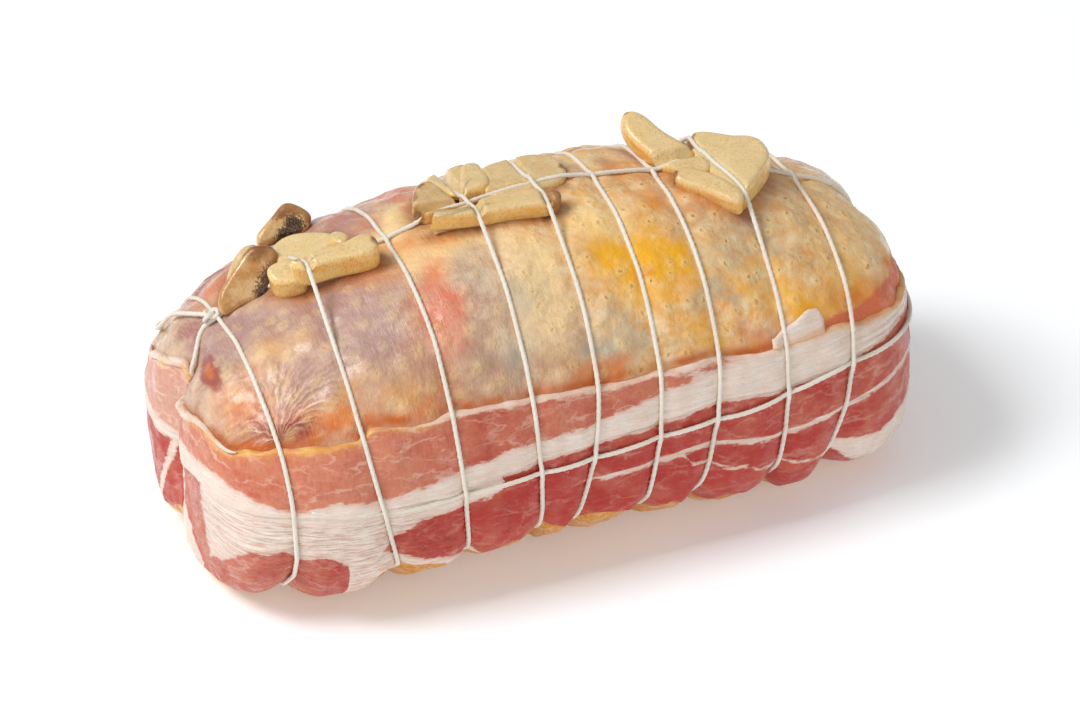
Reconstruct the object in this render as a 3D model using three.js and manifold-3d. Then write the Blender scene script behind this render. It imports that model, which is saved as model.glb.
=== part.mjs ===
// A raw guinea fowl roast: a boned bird rolled skin side out, wrapped round its flanks with rashers,
// tied with string and topped with three small heaps of sliced mushrooms.
// Millimetres, +X along the roast, -Y the side with the long rashers towards the viewer, +Z up.
// The roast stands on z = 0.
import * as THREE from "three";
import { mergeVertices } from "three/addons/utils/BufferGeometryUtils.js";
import Module from "manifold-3d";

const wasm = await Module();
wasm.setup();
const { Manifold, Mesh: SolidMesh } = wasm;

// ---------------------------------------------------------------- driving dimensions
const LENGTH = 200; // the meat roll, end to end
const WIDTH = 100; // across the flanks at mid length
const HEIGHT = 90.5; // table to the crest at mid length
const WAIST = 26.5; // height at which the flanks stand furthest out
const SETTLE = 2; // how far the soft underside is flattened by the table
const PLAN_POWER = 4; // squareness of the ends seen from above
const SIDE_POWER = 8; // squareness of the ends seen from the side
const TOP_POWER = 2.4; // roundness of the section above the waist
const FOOT_POWER = 2.5; // roundness of the section below the waist
const WIDTH_SLOPE = -0.065; // change of width along the roast, per 100 mm
const WIDTH_FLARE = 0.06; // the ends are a little wider than an even loaf, per 100 mm squared
const HEIGHT_SLOPE = 0.033; // the right half is a little taller, per 100 mm
const HEIGHT_ARCH = 0.29; // the crest falls away towards both ends, per 100 mm squared

const STRING_D = 1.8; // butcher's string
const GAP = 0.3; // clearance left between touching pieces
const RASHER_T = 2; // thickness of a rasher
const RASHER_PROUD = 0.8; // how far a rasher stands out from the flank

// The nine turns of string: where each crosses the crest, and how far its foot wanders along the roast.
const TURN_X = [-84.5, -64.5, -40.5, -18.5, 0, 17.5, 34.5, 54, 75];
const TURN_FOOT = [1.5, 8, 3.5, 2, -7, -4.5, -6, -2.5, -8];
const FOOT_FROM = 62; // height below which a turn starts to wander
const FOOT_SPAN = 44;

const PINCH_TOP = 1.2; // how deep a turn of string bites into the skin on top
const PINCH_FOOT = 5.2; // and into the soft lower edge
const LOW_EDGE = 38; // height below which the turns bite deeper
const LOW_EDGE_SPAN = 30;
const PILLOW_POWER = 0.6; // fullness of the pillow between two turns
const PILLOW_FULL = 1.12; // makes the middle of each pillow a little flat
const LEFT_SHOULDER = 9; // length over which the meat swells out past the first turn
const RIGHT_SHOULDER = 11; // and past the last turn
const CLEFT_DEPTH = 5; // cleft drawn into the left end by the lengthwise string
const CLEFT_HALF = 6.5;
const CLEFT_Y = 5;
const FAR_CLEFT_DEPTH = 3; // the shallower cleft in the right end
const FAR_CLEFT_Y = 1.5;
const CLEFT_FROM = 86; // distance from the middle at which both clefts start
const CLEFT_RUN = 11;
const GROOVE_DEPTH = 7; // the lengthwise string runs up inside the underside
const GROOVE_HALF = 4.5;
const GROOVE_FROM = 14; // height below which the groove opens
const GROOVE_RUN = 10;

// Girth positions run round the flanks: right end 0, front middle 140, left end 280, back middle 420.
const FAN = 60; // girth length given to each quarter turn at the ends
const STRAIGHT = 160; // girth length of each straight flank
const GIRTH = 2 * STRAIGHT + 4 * FAN;
const FAN_X = STRAIGHT / 2;

// ---------------------------------------------------------------- the loaf as a surface
const A = LENGTH / 2;
const B = WIDTH / 2;

function clamp01(v) {
  return Math.min(1, Math.max(0, v));
}

function smooth(v) {
  const t = clamp01(v);
  return t * t * (3 - 2 * t);
}

function bell(v) {
  return Math.exp(-v * v);
}

function signedPower(v, k) {
  return Math.sign(v) * Math.abs(v) ** k;
}

function taper(x, power) {
  const t = Math.min(1, Math.abs(x) / A);
  return (1 - t ** power) ** (1 / power);
}

function halfWidth(x) {
  const s = x / 100;
  return B * (1 + WIDTH_SLOPE * s + WIDTH_FLARE * s * s) * taper(x, PLAN_POWER);
}

function crest(x) {
  const s = x / 100;
  const full = HEIGHT * (1 + HEIGHT_SLOPE * s - HEIGHT_ARCH * s * s);
  return WAIST + (full - WAIST) * taper(x, SIDE_POWER);
}

function underside(x) {
  return (WAIST + SETTLE) * taper(x, SIDE_POWER);
}

// Point of the smooth loaf at station x and section angle a: 0 back, 90 crest, 180 front, 270 underside.
function sectionPoint(x, a) {
  const up = Math.sin(a) > 0;
  const k = 2 / (up ? TOP_POWER : FOOT_POWER);
  const rise = up ? crest(x) - WAIST : underside(x);
  const z = WAIST + rise * signedPower(Math.sin(a), k);
  return [x, halfWidth(x) * signedPower(Math.cos(a), k), Math.max(0, z)];
}

function insideLoaf(x, y, z) {
  if (Math.abs(x) >= A) return false;
  const up = z > WAIST;
  const k = up ? TOP_POWER : FOOT_POWER;
  const rise = up ? crest(x) - WAIST : underside(x);
  const h = Math.abs(z - WAIST) / Math.max(rise, 1e-6);
  const w = Math.abs(y) / Math.max(halfWidth(x), 1e-6);
  return w ** k + h ** k < 1;
}

// Point of the flank at girth position s and height z.
function flankPoint(s, z) {
  const g = ((s % GIRTH) + GIRTH) % GIRTH;
  const q = Math.PI / 2;
  let ox = 0;
  let turn = 0;
  if (g < FAN) {
    ox = FAN_X;
    turn = (g / FAN) * q;
  } else if (g < FAN + STRAIGHT) {
    ox = FAN_X - (g - FAN);
    turn = q;
  } else if (g < 3 * FAN + STRAIGHT) {
    ox = -FAN_X;
    turn = q + ((g - FAN - STRAIGHT) / FAN) * q;
  } else if (g < 3 * FAN + 2 * STRAIGHT) {
    ox = -FAN_X + (g - 3 * FAN - STRAIGHT);
    turn = 3 * q;
  } else {
    ox = FAN_X;
    turn = 3 * q + ((g - 3 * FAN - 2 * STRAIGHT) / FAN) * q;
  }
  const dx = Math.cos(turn);
  const dy = -Math.sin(turn);
  let near = 0;
  let far = 2 * B;
  for (let i = 0; i < 40; i += 1) {
    const mid = (near + far) / 2;
    if (insideLoaf(ox + dx * mid, dy * mid, z)) near = mid;
    else far = mid;
  }
  return [ox + dx * near, dy * near, z];
}

// Direction in which the meat is pressed in or stands out.
function outward([x, y, z]) {
  const rise = z > WAIST ? HEIGHT - WAIST : WAIST;
  const nx = signedPower(x / A, 7) / A;
  const ny = signedPower(y / B, 1.4) / B;
  const nz = signedPower((z - WAIST) / rise, 1.4) / rise;
  const n = Math.hypot(nx, ny, nz) || 1;
  return [nx / n, ny / n, nz / n];
}

// ---------------------------------------------------------------- the bite of the string
function footShape(z) {
  return clamp01((FOOT_FROM - z) / FOOT_SPAN) ** 1.5;
}

function footWander(u) {
  const last = TURN_X.length - 1;
  if (u <= TURN_X[0]) return TURN_FOOT[0] * clamp01((A + u) / (A + TURN_X[0]));
  if (u >= TURN_X[last]) return TURN_FOOT[last] * clamp01((A - u) / (A - TURN_X[last]));
  let k = 0;
  while (u > TURN_X[k + 1]) k += 1;
  const f = (u - TURN_X[k]) / (TURN_X[k + 1] - TURN_X[k]);
  return TURN_FOOT[k] * (1 - f) + TURN_FOOT[k + 1] * f;
}

function leanX(u, z) {
  return u + footWander(u) * footShape(z);
}

function stationOf(x, z) {
  let u = x;
  for (let i = 0; i < 4; i += 1) u = x - footWander(u) * footShape(z);
  return u;
}

// 1 under a turn of string, 0 on the full pillow between two turns.
function bite(u) {
  const last = TURN_X.length - 1;
  let full = 1;
  if (u < TURN_X[0]) full = smooth((TURN_X[0] - u) / LEFT_SHOULDER) ** PILLOW_POWER;
  else if (u > TURN_X[last]) full = smooth((u - TURN_X[last]) / RIGHT_SHOULDER) ** PILLOW_POWER;
  else {
    let k = 0;
    while (u > TURN_X[k + 1]) k += 1;
    const f = (u - TURN_X[k]) / (TURN_X[k + 1] - TURN_X[k]);
    full = Math.min(1, PILLOW_FULL * Math.max(0, 4 * f * (1 - f)) ** PILLOW_POWER);
  }
  return 1 - full;
}

// How far the finished surface lies inside the smooth loaf.
function sink([x, y, z]) {
  const u = stationOf(x, z);
  const low = smooth((LOW_EDGE - z) / LOW_EDGE_SPAN);
  const pinch = bite(u) * (PINCH_TOP + (PINCH_FOOT - PINCH_TOP) * low);
  const atLeft = smooth((-CLEFT_FROM - x) / CLEFT_RUN);
  const leftEnd = atLeft * CLEFT_DEPTH * bell((y - CLEFT_Y) / CLEFT_HALF);
  const atRight = smooth((x - CLEFT_FROM) / CLEFT_RUN);
  const rightEnd = atRight * FAR_CLEFT_DEPTH * bell((y - FAR_CLEFT_Y) / CLEFT_HALF);
  const below = smooth((GROOVE_FROM - z) / GROOVE_RUN);
  const hollow = Math.max(0, 1.05 * bell((y - FAR_CLEFT_Y) / GROOVE_HALF) - 0.05);
  const under = below * GROOVE_DEPTH * hollow;
  return Math.max(pinch, leftEnd, rightEnd, under);
}

function skin(p, lift) {
  const n = outward(p);
  const d = lift - sink(p);
  return [p[0] + n[0] * d, p[1] + n[1] * d, p[2] + n[2] * d];
}

// ---------------------------------------------------------------- solids from points
function solidOf(points, faces) {
  const vertProperties = new Float32Array(points.flat());
  const triVerts = new Uint32Array(faces.flat());
  const made = new Manifold(new SolidMesh({ numProp: 3, vertProperties, triVerts }));
  if (made.volume() > 0) return made;
  const turned = new Uint32Array(faces.map(([a, b, c]) => [a, c, b]).flat());
  return new Manifold(new SolidMesh({ numProp: 3, vertProperties, triVerts: turned }));
}

function solidFromGeometry(geometry) {
  geometry.deleteAttribute("normal");
  geometry.deleteAttribute("uv");
  const merged = mergeVertices(geometry, 1e-4);
  const vertProperties = new Float32Array(merged.attributes.position.array);
  const triVerts = new Uint32Array(merged.index.array);
  return new Manifold(new SolidMesh({ numProp: 3, vertProperties, triVerts }));
}

function quad(faces, a, b, c, d) {
  faces.push([a, b, c], [a, c, d]);
}

// A tube through the given points; up holds the plane normal used to lay out its rings.
function tube(path, radius, sides, up, closed) {
  const n = path.length;
  const points = [];
  const faces = [];
  const axis = new THREE.Vector3(...up);
  for (let i = 0; i < n; i += 1) {
    const here = new THREE.Vector3(...path[i]);
    const before = new THREE.Vector3(...path[closed ? (i + n - 1) % n : Math.max(0, i - 1)]);
    const after = new THREE.Vector3(...path[closed ? (i + 1) % n : Math.min(n - 1, i + 1)]);
    const into = here.clone().sub(before).normalize();
    const out = after.clone().sub(here).normalize();
    const along = into.clone().add(out).normalize();
    const mitre = 1 / Math.max(0.5, into.lengthSq() && out.lengthSq() ? along.dot(out) : 1);
    const side = axis.clone().addScaledVector(along, -axis.dot(along)).normalize();
    const rise = new THREE.Vector3().crossVectors(along, side);
    for (let k = 0; k < sides; k += 1) {
      const a = ((k + 0.5) / sides) * 2 * Math.PI;
      const p = here.clone().addScaledVector(side, radius * Math.cos(a));
      p.addScaledVector(rise, radius * mitre * Math.sin(a));
      points.push([p.x, p.y, p.z]);
    }
  }
  const spans = closed ? n : n - 1;
  for (let i = 0; i < spans; i += 1) {
    const j = (i + 1) % n;
    for (let k = 0; k < sides; k += 1) {
      const l = (k + 1) % sides;
      quad(faces, i * sides + k, i * sides + l, j * sides + l, j * sides + k);
    }
  }
  if (!closed) {
    for (let k = 1; k < sides - 1; k += 1) {
      faces.push([0, k + 1, k]);
      const e = (n - 1) * sides;
      faces.push([e, e + k, e + k + 1]);
    }
  }
  return solidOf(points, faces);
}

function mainBody(solid) {
  return solid.decompose().reduce((a, b) => (b.volume() > a.volume() ? b : a));
}

// The main body left after cutting, with facets smaller than the tolerance merged away.
function cutBody(solid, tolerance) {
  return mainBody(mainBody(solid).simplify(tolerance));
}

// ---------------------------------------------------------------- the meat roll
const END_RINGS = [0.3, 0.58, 0.78, 0.92]; // girth of each ring that closes an end, as a share

// Section angles: close together over the groove of the underside, even round the rest.
const UNDER_ANGLES = [251, 262, 270, 272, 278, 289];
const ROUND_STEPS = 20;

function sectionAngles() {
  const list = [...UNDER_ANGLES];
  const from = UNDER_ANGLES[UNDER_ANGLES.length - 1];
  const span = 360 + UNDER_ANGLES[0] - from;
  for (let k = 1; k < ROUND_STEPS; k += 1) list.push(from + (span * k) / ROUND_STEPS);
  return list.map((degrees) => (degrees * Math.PI) / 180);
}

function stations() {
  const list = [];
  const left = END_RINGS.map((g) => -A * (1 - g ** PLAN_POWER) ** (1 / PLAN_POWER));
  list.push(...left.filter((x) => x < TURN_X[0] - 3));
  for (let k = 0; k < TURN_X.length - 1; k += 1) {
    const step = TURN_X[k + 1] - TURN_X[k];
    list.push(TURN_X[k], TURN_X[k] + step / 3, TURN_X[k] + (2 * step) / 3);
  }
  list.push(TURN_X[TURN_X.length - 1]);
  const right = left.map((x) => -x).reverse();
  list.push(...right.filter((x) => x > TURN_X[TURN_X.length - 1] + 3));
  return list;
}

function rollSolid() {
  const xs = stations();
  const angles = sectionAngles();
  const count = angles.length;
  const points = [];
  const faces = [];
  xs.forEach((u) => {
    angles.forEach((a) => {
      const flat = sectionPoint(u, a);
      points.push(skin(sectionPoint(leanX(u, flat[2]), a), 0));
    });
  });
  for (let i = 0; i < xs.length - 1; i += 1) {
    for (let j = 0; j < count; j += 1) {
      const k = (j + 1) % count;
      const a = i * count;
      quad(faces, a + j, a + k, a + count + k, a + count + j);
    }
  }
  const leftPole = points.length;
  points.push(skin([-A, CLEFT_Y, WAIST], 0));
  const rightPole = points.length;
  points.push(skin([A, FAR_CLEFT_Y, WAIST], 0));
  const end = (xs.length - 1) * count;
  for (let j = 0; j < count; j += 1) {
    const k = (j + 1) % count;
    faces.push([leftPole, k, j], [rightPole, end + j, end + k]);
  }
  return solidOf(points, faces);
}

// ---------------------------------------------------------------- the rashers
// Each edge is a few [girth position, height] pairs joined smoothly.
function edgeAt(edge, s) {
  if (s <= edge[0][0]) return edge[0][1];
  for (let i = 1; i < edge.length; i += 1) {
    if (s <= edge[i][0]) {
      const f = (s - edge[i - 1][0]) / (edge[i][0] - edge[i - 1][0]);
      return edge[i - 1][1] + (edge[i][1] - edge[i - 1][1]) * smooth(f);
    }
  }
  return edge[edge.length - 1][1];
}

const SEAM = 0.4; // gap where two rashers meet
const MIDDLE_END = 165; // where the narrow middle rasher slips under the upper one

const FRONT_TOP = [
  [4, 52],
  [50, 55],
  [82, 57],
  [140, 59],
  [188, 60],
  [206, 57],
  [226, 54],
  [250, 52.5],
  [286, 51.5],
];
const FRONT_SEAM = [
  [4, 45],
  [82, 44],
  [130, 45],
  [160, 40],
  [182, 37],
  [214, 37.5],
  [246, 38],
  [286, 33],
];
const FRONT_LOW_SEAM = [
  [4, 35],
  [70, 32],
  [120, 34.5],
  [150, 33],
  [176, 31.5],
];
const FRONT_FOOT = [
  [4, 6],
  [80, 5],
  [140, 9],
  [168, 8],
  [184, 4],
  [196, 6],
  [230, 4],
  [286, 6],
];
const BACK_TOP = [
  [290, 55],
  [306, 50],
  [330, 48],
  [420, 52],
  [500, 54],
  [558, 52],
];
const BACK_SEAM = [
  [290, 33],
  [330, 34],
  [420, 32],
  [558, 36],
];
const BACK_FOOT = [
  [290, 7],
  [340, 5],
  [420, 6],
  [558, 6],
];

const RASHERS = {
  bard_front_upper: { from: 4, to: 286, top: FRONT_TOP, low: FRONT_SEAM, rows: 3, inner: 2 },
  bard_front_middle: {
    from: 4,
    to: MIDDLE_END,
    top: FRONT_SEAM,
    low: FRONT_LOW_SEAM,
    rows: 3,
    inner: 2,
    under: true,
  },
  bard_front_lower: {
    from: 4,
    to: 286,
    top: FRONT_LOW_SEAM,
    low: FRONT_FOOT,
    rows: 4,
    inner: 3,
    under: true,
    meets: true,
  },
  bard_back_upper: { from: 290, to: 558, top: BACK_TOP, low: BACK_SEAM, rows: 3, inner: 2 },
  bard_back_lower: {
    from: 290,
    to: 558,
    top: BACK_SEAM,
    low: BACK_FOOT,
    rows: 4,
    inner: 3,
    under: true,
  },
};

const FAN_STEPS = [4, 11, 20, 31, 44, 57]; // girth steps round a quarter turn, from the flank's end
const LEAST_STEP = 3;

// Girth positions of the rasher lattice, so that its rows of points follow the turns of string.
function girthSteps(from, to) {
  const front = stations().filter((x) => Math.abs(x) < FAN_X);
  const list = [];
  front.forEach((x) => list.push(FAN + FAN_X - x, 3 * FAN + STRAIGHT + FAN_X + x));
  const fans = [0, FAN + STRAIGHT, 2 * FAN + STRAIGHT, 3 * FAN + 2 * STRAIGHT];
  fans.forEach((base, k) => {
    FAN_STEPS.forEach((d) => list.push(base + (k % 2 ? d : FAN - d)));
  });
  const inner = list.filter((s) => s > from && s < to - LEAST_STEP).sort((a, b) => a - b);
  const kept = [from];
  inner.forEach((s) => {
    if (s - kept[kept.length - 1] > LEAST_STEP) kept.push(s);
  });
  kept.push(to);
  return kept;
}

function rasherEdges(r, s) {
  let top = edgeAt(r.top, s);
  if (r.meets && s > MIDDLE_END + 2) top = edgeAt(FRONT_SEAM, s);
  if (r.under) top -= SEAM;
  return [edgeAt(r.low, s), top];
}

// The bed pressed into the roll under all the rashers of one side.
const BED_MARGIN = 1.3;
const BED_REACH = 8; // how far the cutter of a bed stands out of the roll
const FRONT_BED = { from: 4, to: 286, top: FRONT_TOP, low: FRONT_FOOT, rows: 3, inner: 4 };
const BACK_BED = { from: 290, to: 558, top: BACK_TOP, low: BACK_FOOT, rows: 3, inner: 4 };

// A curved band: rows of points on its outer face, fewer on its hidden inner face.
function bandSolid(r, lifts, grow) {
  const steps = girthSteps(r.from, r.to);
  const points = [];
  const faces = [];
  const counts = [r.inner, r.rows];
  steps.forEach((s, i) => {
    const ends = i === 0 ? -grow : i === steps.length - 1 ? grow : 0;
    const [low, top] = rasherEdges(r, s);
    lifts.forEach((lift, layer) => {
      for (let v = 0; v < counts[layer]; v += 1) {
        const z = low - 3 * grow + ((top - low + 4 * grow) * v) / (counts[layer] - 1);
        points.push(skin(flankPoint(s + ends, z), lift));
      }
    });
  });
  const ring = r.inner + r.rows;
  const loop = [];
  for (let v = 0; v < r.inner; v += 1) loop.push(v);
  for (let v = r.rows - 1; v >= 0; v -= 1) loop.push(r.inner + v);
  for (let i = 0; i < steps.length - 1; i += 1) {
    for (let k = 0; k < ring; k += 1) {
      const a = i * ring + loop[k];
      const b = i * ring + loop[(k + 1) % ring];
      quad(faces, a, b, b + ring, a + ring);
    }
  }
  const last = (steps.length - 1) * ring;
  let v = 0;
  let w = 0;
  while (v < r.inner - 1 || w < r.rows - 1) {
    const a = v;
    const b = r.inner + w;
    if ((v + 1) / (r.inner - 1) <= (w + 1) / (r.rows - 1)) v += 1;
    else w += 1;
    const c = a === v ? r.inner + w : v;
    faces.push([a, b, c], [last + b, last + a, last + c]);
  }
  return solidOf(points, faces);
}

function rasherSolid(r) {
  return bandSolid(r, [RASHER_PROUD - RASHER_T, RASHER_PROUD], 0);
}

function bedSolid(r) {
  return bandSolid(r, [RASHER_PROUD - RASHER_T - GAP - BED_MARGIN, BED_REACH], GAP);
}

// ---------------------------------------------------------------- the mushroom pieces
// at: middle of the upper face; tilt: how its normal leans along x and y; thick: down along the normal;
// outline: a soft closed curve through a few points of the upper face, in its own plane, u along the
// roast and v away from the viewer.
const MUSHROOMS = {
  mushroom_left_block: {
    at: [-57.4, -5.9, 89.4],
    tilt: [-0.18, -0.25],
    thick: 8.5,
    outline: [[-12, 2], [-7, 2.6], [2, 2.4], [10, 3], [12, 0], [10.5, -3.5], [0, -2.4], [-10, -1]],
  },
  mushroom_left_cap_front: {
    at: [-76.1, 8.3, 77.1],
    tilt: [-0.5, -1.1],
    thick: 8,
    outline: [[-9, -3], [-3, 3.5], [3, 8], [9, 5.5], [5.5, -1.5], [4, -5], [-3, -6], [-9, -7.8]],
  },
  mushroom_left_chunk: {
    at: [-68.4, -0.4, 81.8],
    tilt: [-0.3, -0.5],
    thick: 7,
    outline: [[-4, 2], [-1, 4], [2, 2], [3.6, -2], [2, -4], [-3.5, -1.5]],
  },
  mushroom_left_slice_flat: {
    at: [-59.5, 11.5, 82.0],
    tilt: [-0.2, 0.05],
    thick: 5,
    outline: [[-7.5, 5], [-2, 7], [5.5, 3], [9, -3], [3, -6.8], [-7, -5.5], [-9, -1]],
  },
  mushroom_left_cap_back: {
    at: [-60.5, 25.6, 80.4],
    tilt: [-0.25, -0.9],
    thick: 7,
    outline: [[-7.5, -2], [-2, 2.2], [2.5, 5], [8, 0], [5, -4], [-2, -4], [-7, -4.4]],
  },
  mushroom_left_slice_thin: {
    at: [-74.6, 18.5, 75.1],
    tilt: [-0.5, -0.3],
    thick: 3,
    outline: [[-6, -4], [-2, 2.5], [3, 5.2], [6, 3.5], [1, 0], [-4.5, -4.8]],
  },
  mushroom_left_slice_small: {
    at: [-52.0, 6.0, 86.0],
    tilt: [-0.2, 0.1],
    thick: 4,
    outline: [[-1.5, 3], [1, 3], [2.6, -1.5], [0, -3.6], [-2.5, -1]],
  },
  mushroom_mid_slice_front: {
    at: [-15.0, -9.4, 96.2],
    tilt: [-0.05, -0.35],
    thick: 7,
    outline: [[-17, 1.5], [-8, 2.5], [1, 3.6], [10, 2.4], [16.5, 0.5], [16, -3.6], [5, -2.4], [-9, -0.5]],
  },
  mushroom_mid_cap_left: {
    at: [-26.5, 3.9, 93.3],
    tilt: [-0.15, -0.25],
    thick: 5,
    outline: [[-5, 1], [-1, 5.5], [2, 4.5], [4.6, -2], [3, -4.5], [-4, -5]],
  },
  mushroom_mid_slice_back: {
    at: [-2.5, 3.5, 95.2],
    tilt: [0.02, 0.05],
    thick: 5,
    outline: [[-8.5, 4.5], [0, 8], [8.5, 6], [13.5, -1.5], [12, -7.5], [0, -7], [-12.8, -7.4]],
  },
  mushroom_mid_slice_upright: {
    at: [-16.0, 5.0, 94.5],
    tilt: [0, -0.1],
    thick: 5,
    outline: [[1, 6], [5, 5.5], [4, 1], [0, -6], [-5, -6.5], [-2, 0]],
  },
  mushroom_mid_slice_pale: {
    at: [-18.0, 10.0, 91.5],
    tilt: [-0.1, 0.1],
    thick: 3,
    outline: [[-5, 3], [0, 7.2], [4.6, 7], [2, -1], [-1, -7], [-3.4, -2]],
  },
  mushroom_right_stem: {
    at: [38.5, 2.0, 96.5],
    tilt: [-0.45, -0.5],
    thick: 8,
    outline: [[-8.5, 10], [-6.5, 12.7], [-2, 9], [5.5, -2.5], [8.7, -11], [3, -10.6], [-4, -2], [-8, 6]],
  },
  mushroom_right_slice_front: {
    at: [47.5, -16.4, 92.8],
    tilt: [0.15, -0.4],
    thick: 8,
    outline: [[-12.5, 4], [-3, 3], [9, 4.2], [12.3, 1], [7, -4], [1, -5], [-5.5, -1], [-12, 1.8]],
  },
  mushroom_right_cap_back: {
    at: [59.5, 6.0, 87.0],
    tilt: [0.15, -0.1],
    thick: 7,
    outline: [[-11, 5.5], [-6, 8.6], [3, 6], [10.5, 3.5], [9.5, -3.5], [2, -7.5], [-8.5, -7.5]],
  },
};

const OUTLINE_POINTS = 10;
const EDGE_ROUND = 1.3; // rounding of a soft cut edge
const PRESSED = 6; // how deep a turn of string is pulled into the pieces under it

function mushroomSolid(m, grow) {
  const normal = new THREE.Vector3(m.tilt[0], m.tilt[1], 1).normalize();
  const u = new THREE.Vector3(1, 0, 0);
  u.addScaledVector(normal, -normal.x).normalize();
  const v = new THREE.Vector3().crossVectors(normal, u);
  const curve = new THREE.CatmullRomCurve3(
    m.outline.map(([a, b]) => new THREE.Vector3(a, b, 0)),
    true,
    "centripetal",
  );
  const rim = curve.getSpacedPoints(OUTLINE_POINTS).slice(0, OUTLINE_POINTS);
  const shape = rim.map((p) => new THREE.Vector2(p.x, p.y));
  if (THREE.ShapeUtils.isClockWise(shape)) shape.reverse();
  const n = shape.length;
  const push = shape.map((p, i) => {
    const t = shape[(i + 1) % n].clone().sub(shape[(i + n - 1) % n]).normalize();
    return new THREE.Vector2(t.y, -t.x);
  });
  const layers = [
    [grow, -EDGE_ROUND],
    [-EDGE_ROUND, 0],
    [EDGE_ROUND - m.thick, 0],
    [-m.thick - grow, -EDGE_ROUND],
  ];
  const points = [];
  const faces = [];
  layers.forEach(([height, inset]) => {
    shape.forEach((p, i) => {
      const q = p.clone().addScaledVector(push[i], inset * 0.7 + grow);
      const w = new THREE.Vector3(...m.at).addScaledVector(normal, height);
      w.addScaledVector(u, q.x).addScaledVector(v, q.y);
      points.push([w.x, w.y, w.z]);
    });
  });
  for (let r = 0; r < layers.length - 1; r += 1) {
    for (let i = 0; i < n; i += 1) {
      const j = (i + 1) % n;
      quad(faces, r * n + i, (r + 1) * n + i, (r + 1) * n + j, r * n + j);
    }
  }
  const base = (layers.length - 1) * n;
  THREE.ShapeUtils.triangulateShape(shape, []).forEach(([a, b, c]) => {
    faces.push([a, b, c], [base + a, base + c, base + b]);
  });
  return solidOf(points, faces);
}

// ---------------------------------------------------------------- the string
const R = STRING_D / 2;
const TURN_STEPS = 16;
const RING_STEPS = 24;
const STRING_SIDES = 5;

// Smallest rounded hull round the given points of a plane, as corners of a polygon clear of them.
function hullPath(points, clear, steps) {
  const lines = [];
  for (let k = 0; k < steps; k += 1) {
    const a = (k / steps) * 2 * Math.PI;
    const n = [Math.cos(a), Math.sin(a)];
    const far = points.reduce((best, p) => Math.max(best, p[0] * n[0] + p[1] * n[1]), -Infinity);
    lines.push([n[0], n[1], far + clear]);
  }
  return lines.map((l, k) => {
    const m = lines[(k + 1) % steps];
    const det = l[0] * m[1] - l[1] * m[0];
    return [(l[2] * m[1] - l[1] * m[2]) / det, (l[0] * m[2] - l[2] * m[0]) / det];
  });
}

function verticesOf(solid) {
  const mesh = solid.getMesh();
  const list = [];
  for (let i = 0; i < mesh.numVert; i += 1) {
    const at = i * mesh.numProp;
    list.push([mesh.vertProperties[at], mesh.vertProperties[at + 1], mesh.vertProperties[at + 2]]);
  }
  return list;
}

// Everything under a thin slice, after shifting the solid so that the slice becomes flat.
function sliceOf(solids, shift, axis, at) {
  const normal = [0, 0, 0];
  normal[axis] = 1;
  const back = normal.map((v) => -v);
  const reach = R + GAP;
  return solids.flatMap((solid) => {
    const flat = solid.warp((v) => {
      v[axis] += shift(v);
    });
    const slab = flat.trimByPlane(normal, at - reach).trimByPlane(back, -at - reach);
    return verticesOf(slab);
  });
}

const SIDE_CLEAR = R + GAP + 0.2; // middle of a strand above the flesh it lies on
const SIDE_HEIGHT = [
  [-252, 58],
  [-222, 46],
  [-140, 42],
  [-20, 46],
  [68, 45.8],
  [103, 41.4],
  [157, 38.6],
  [198, 37],
  [221, 40],
];
const SIDE_FROM = 219; // girth position of the first turn of string, where the strand starts
const SIDE_TO = -240;
const SIDE_STEP = 5.6; // least distance between two points of the strand
// The last points of the strand, up the far corner of the left end to the knot.
const SIDE_CLIMB = [
  [-91.5, 24, 59.5],
  [-88.5, 15.5, 64],
];

// The strand round the flanks: from the first turn along the front, round the right end, back along
// the far side and up to the knot.
function sideStrand(grow) {
  const steps = girthSteps(4, GIRTH - 4).map((s) => (s > SIDE_FROM + 2 ? s - GIRTH : s));
  const inOrder = steps.filter((s) => s < SIDE_FROM && s > SIDE_TO).sort((a, b) => b - a);
  const kept = [];
  inOrder.forEach((s) => {
    if (!kept.length || kept[kept.length - 1] - s > SIDE_STEP) kept.push(s);
  });
  const path = [SIDE_FROM + 1, ...kept].map((s) => {
    return skin(flankPoint(s, edgeAt(SIDE_HEIGHT, s)), RASHER_PROUD + SIDE_CLEAR);
  });
  SIDE_CLIMB.forEach((p) => path.push(skin(p, SIDE_CLEAR + 0.3)));
  return tube(path, R + grow, STRING_SIDES, [0, 0, 1], false);
}

// Where the lengthwise string lies across the roast: it drifts back near the knot.
function ringY(x, z) {
  const atEnd = 3.5 * smooth((-60 - x) / 30) * smooth((z - 15) / 15);
  return FAR_CLEFT_Y + atEnd + 4 * smooth((-35 - x) / 50) * smooth((z - 56) / 10);
}

// How far the lengthwise string climbs over the middle and right heaps of mushrooms.
const RING_CLIMB = [
  [-28, 8, 3.4],
  [42, 63, 3.2],
];
const CLIMB_RUN = 6;
const TOP_FROM = 70; // height above which the lengthwise string follows the crest in short steps
const TOP_CUT = 7.5;
const LOW_CUT = 30;

function ringClimb(x) {
  return RING_CLIMB.reduce((sum, [a, b, rise]) => {
    return sum + rise * smooth((x - a) / CLIMB_RUN + 1) * smooth((b - x) / CLIMB_RUN + 1);
  }, 0);
}

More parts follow.
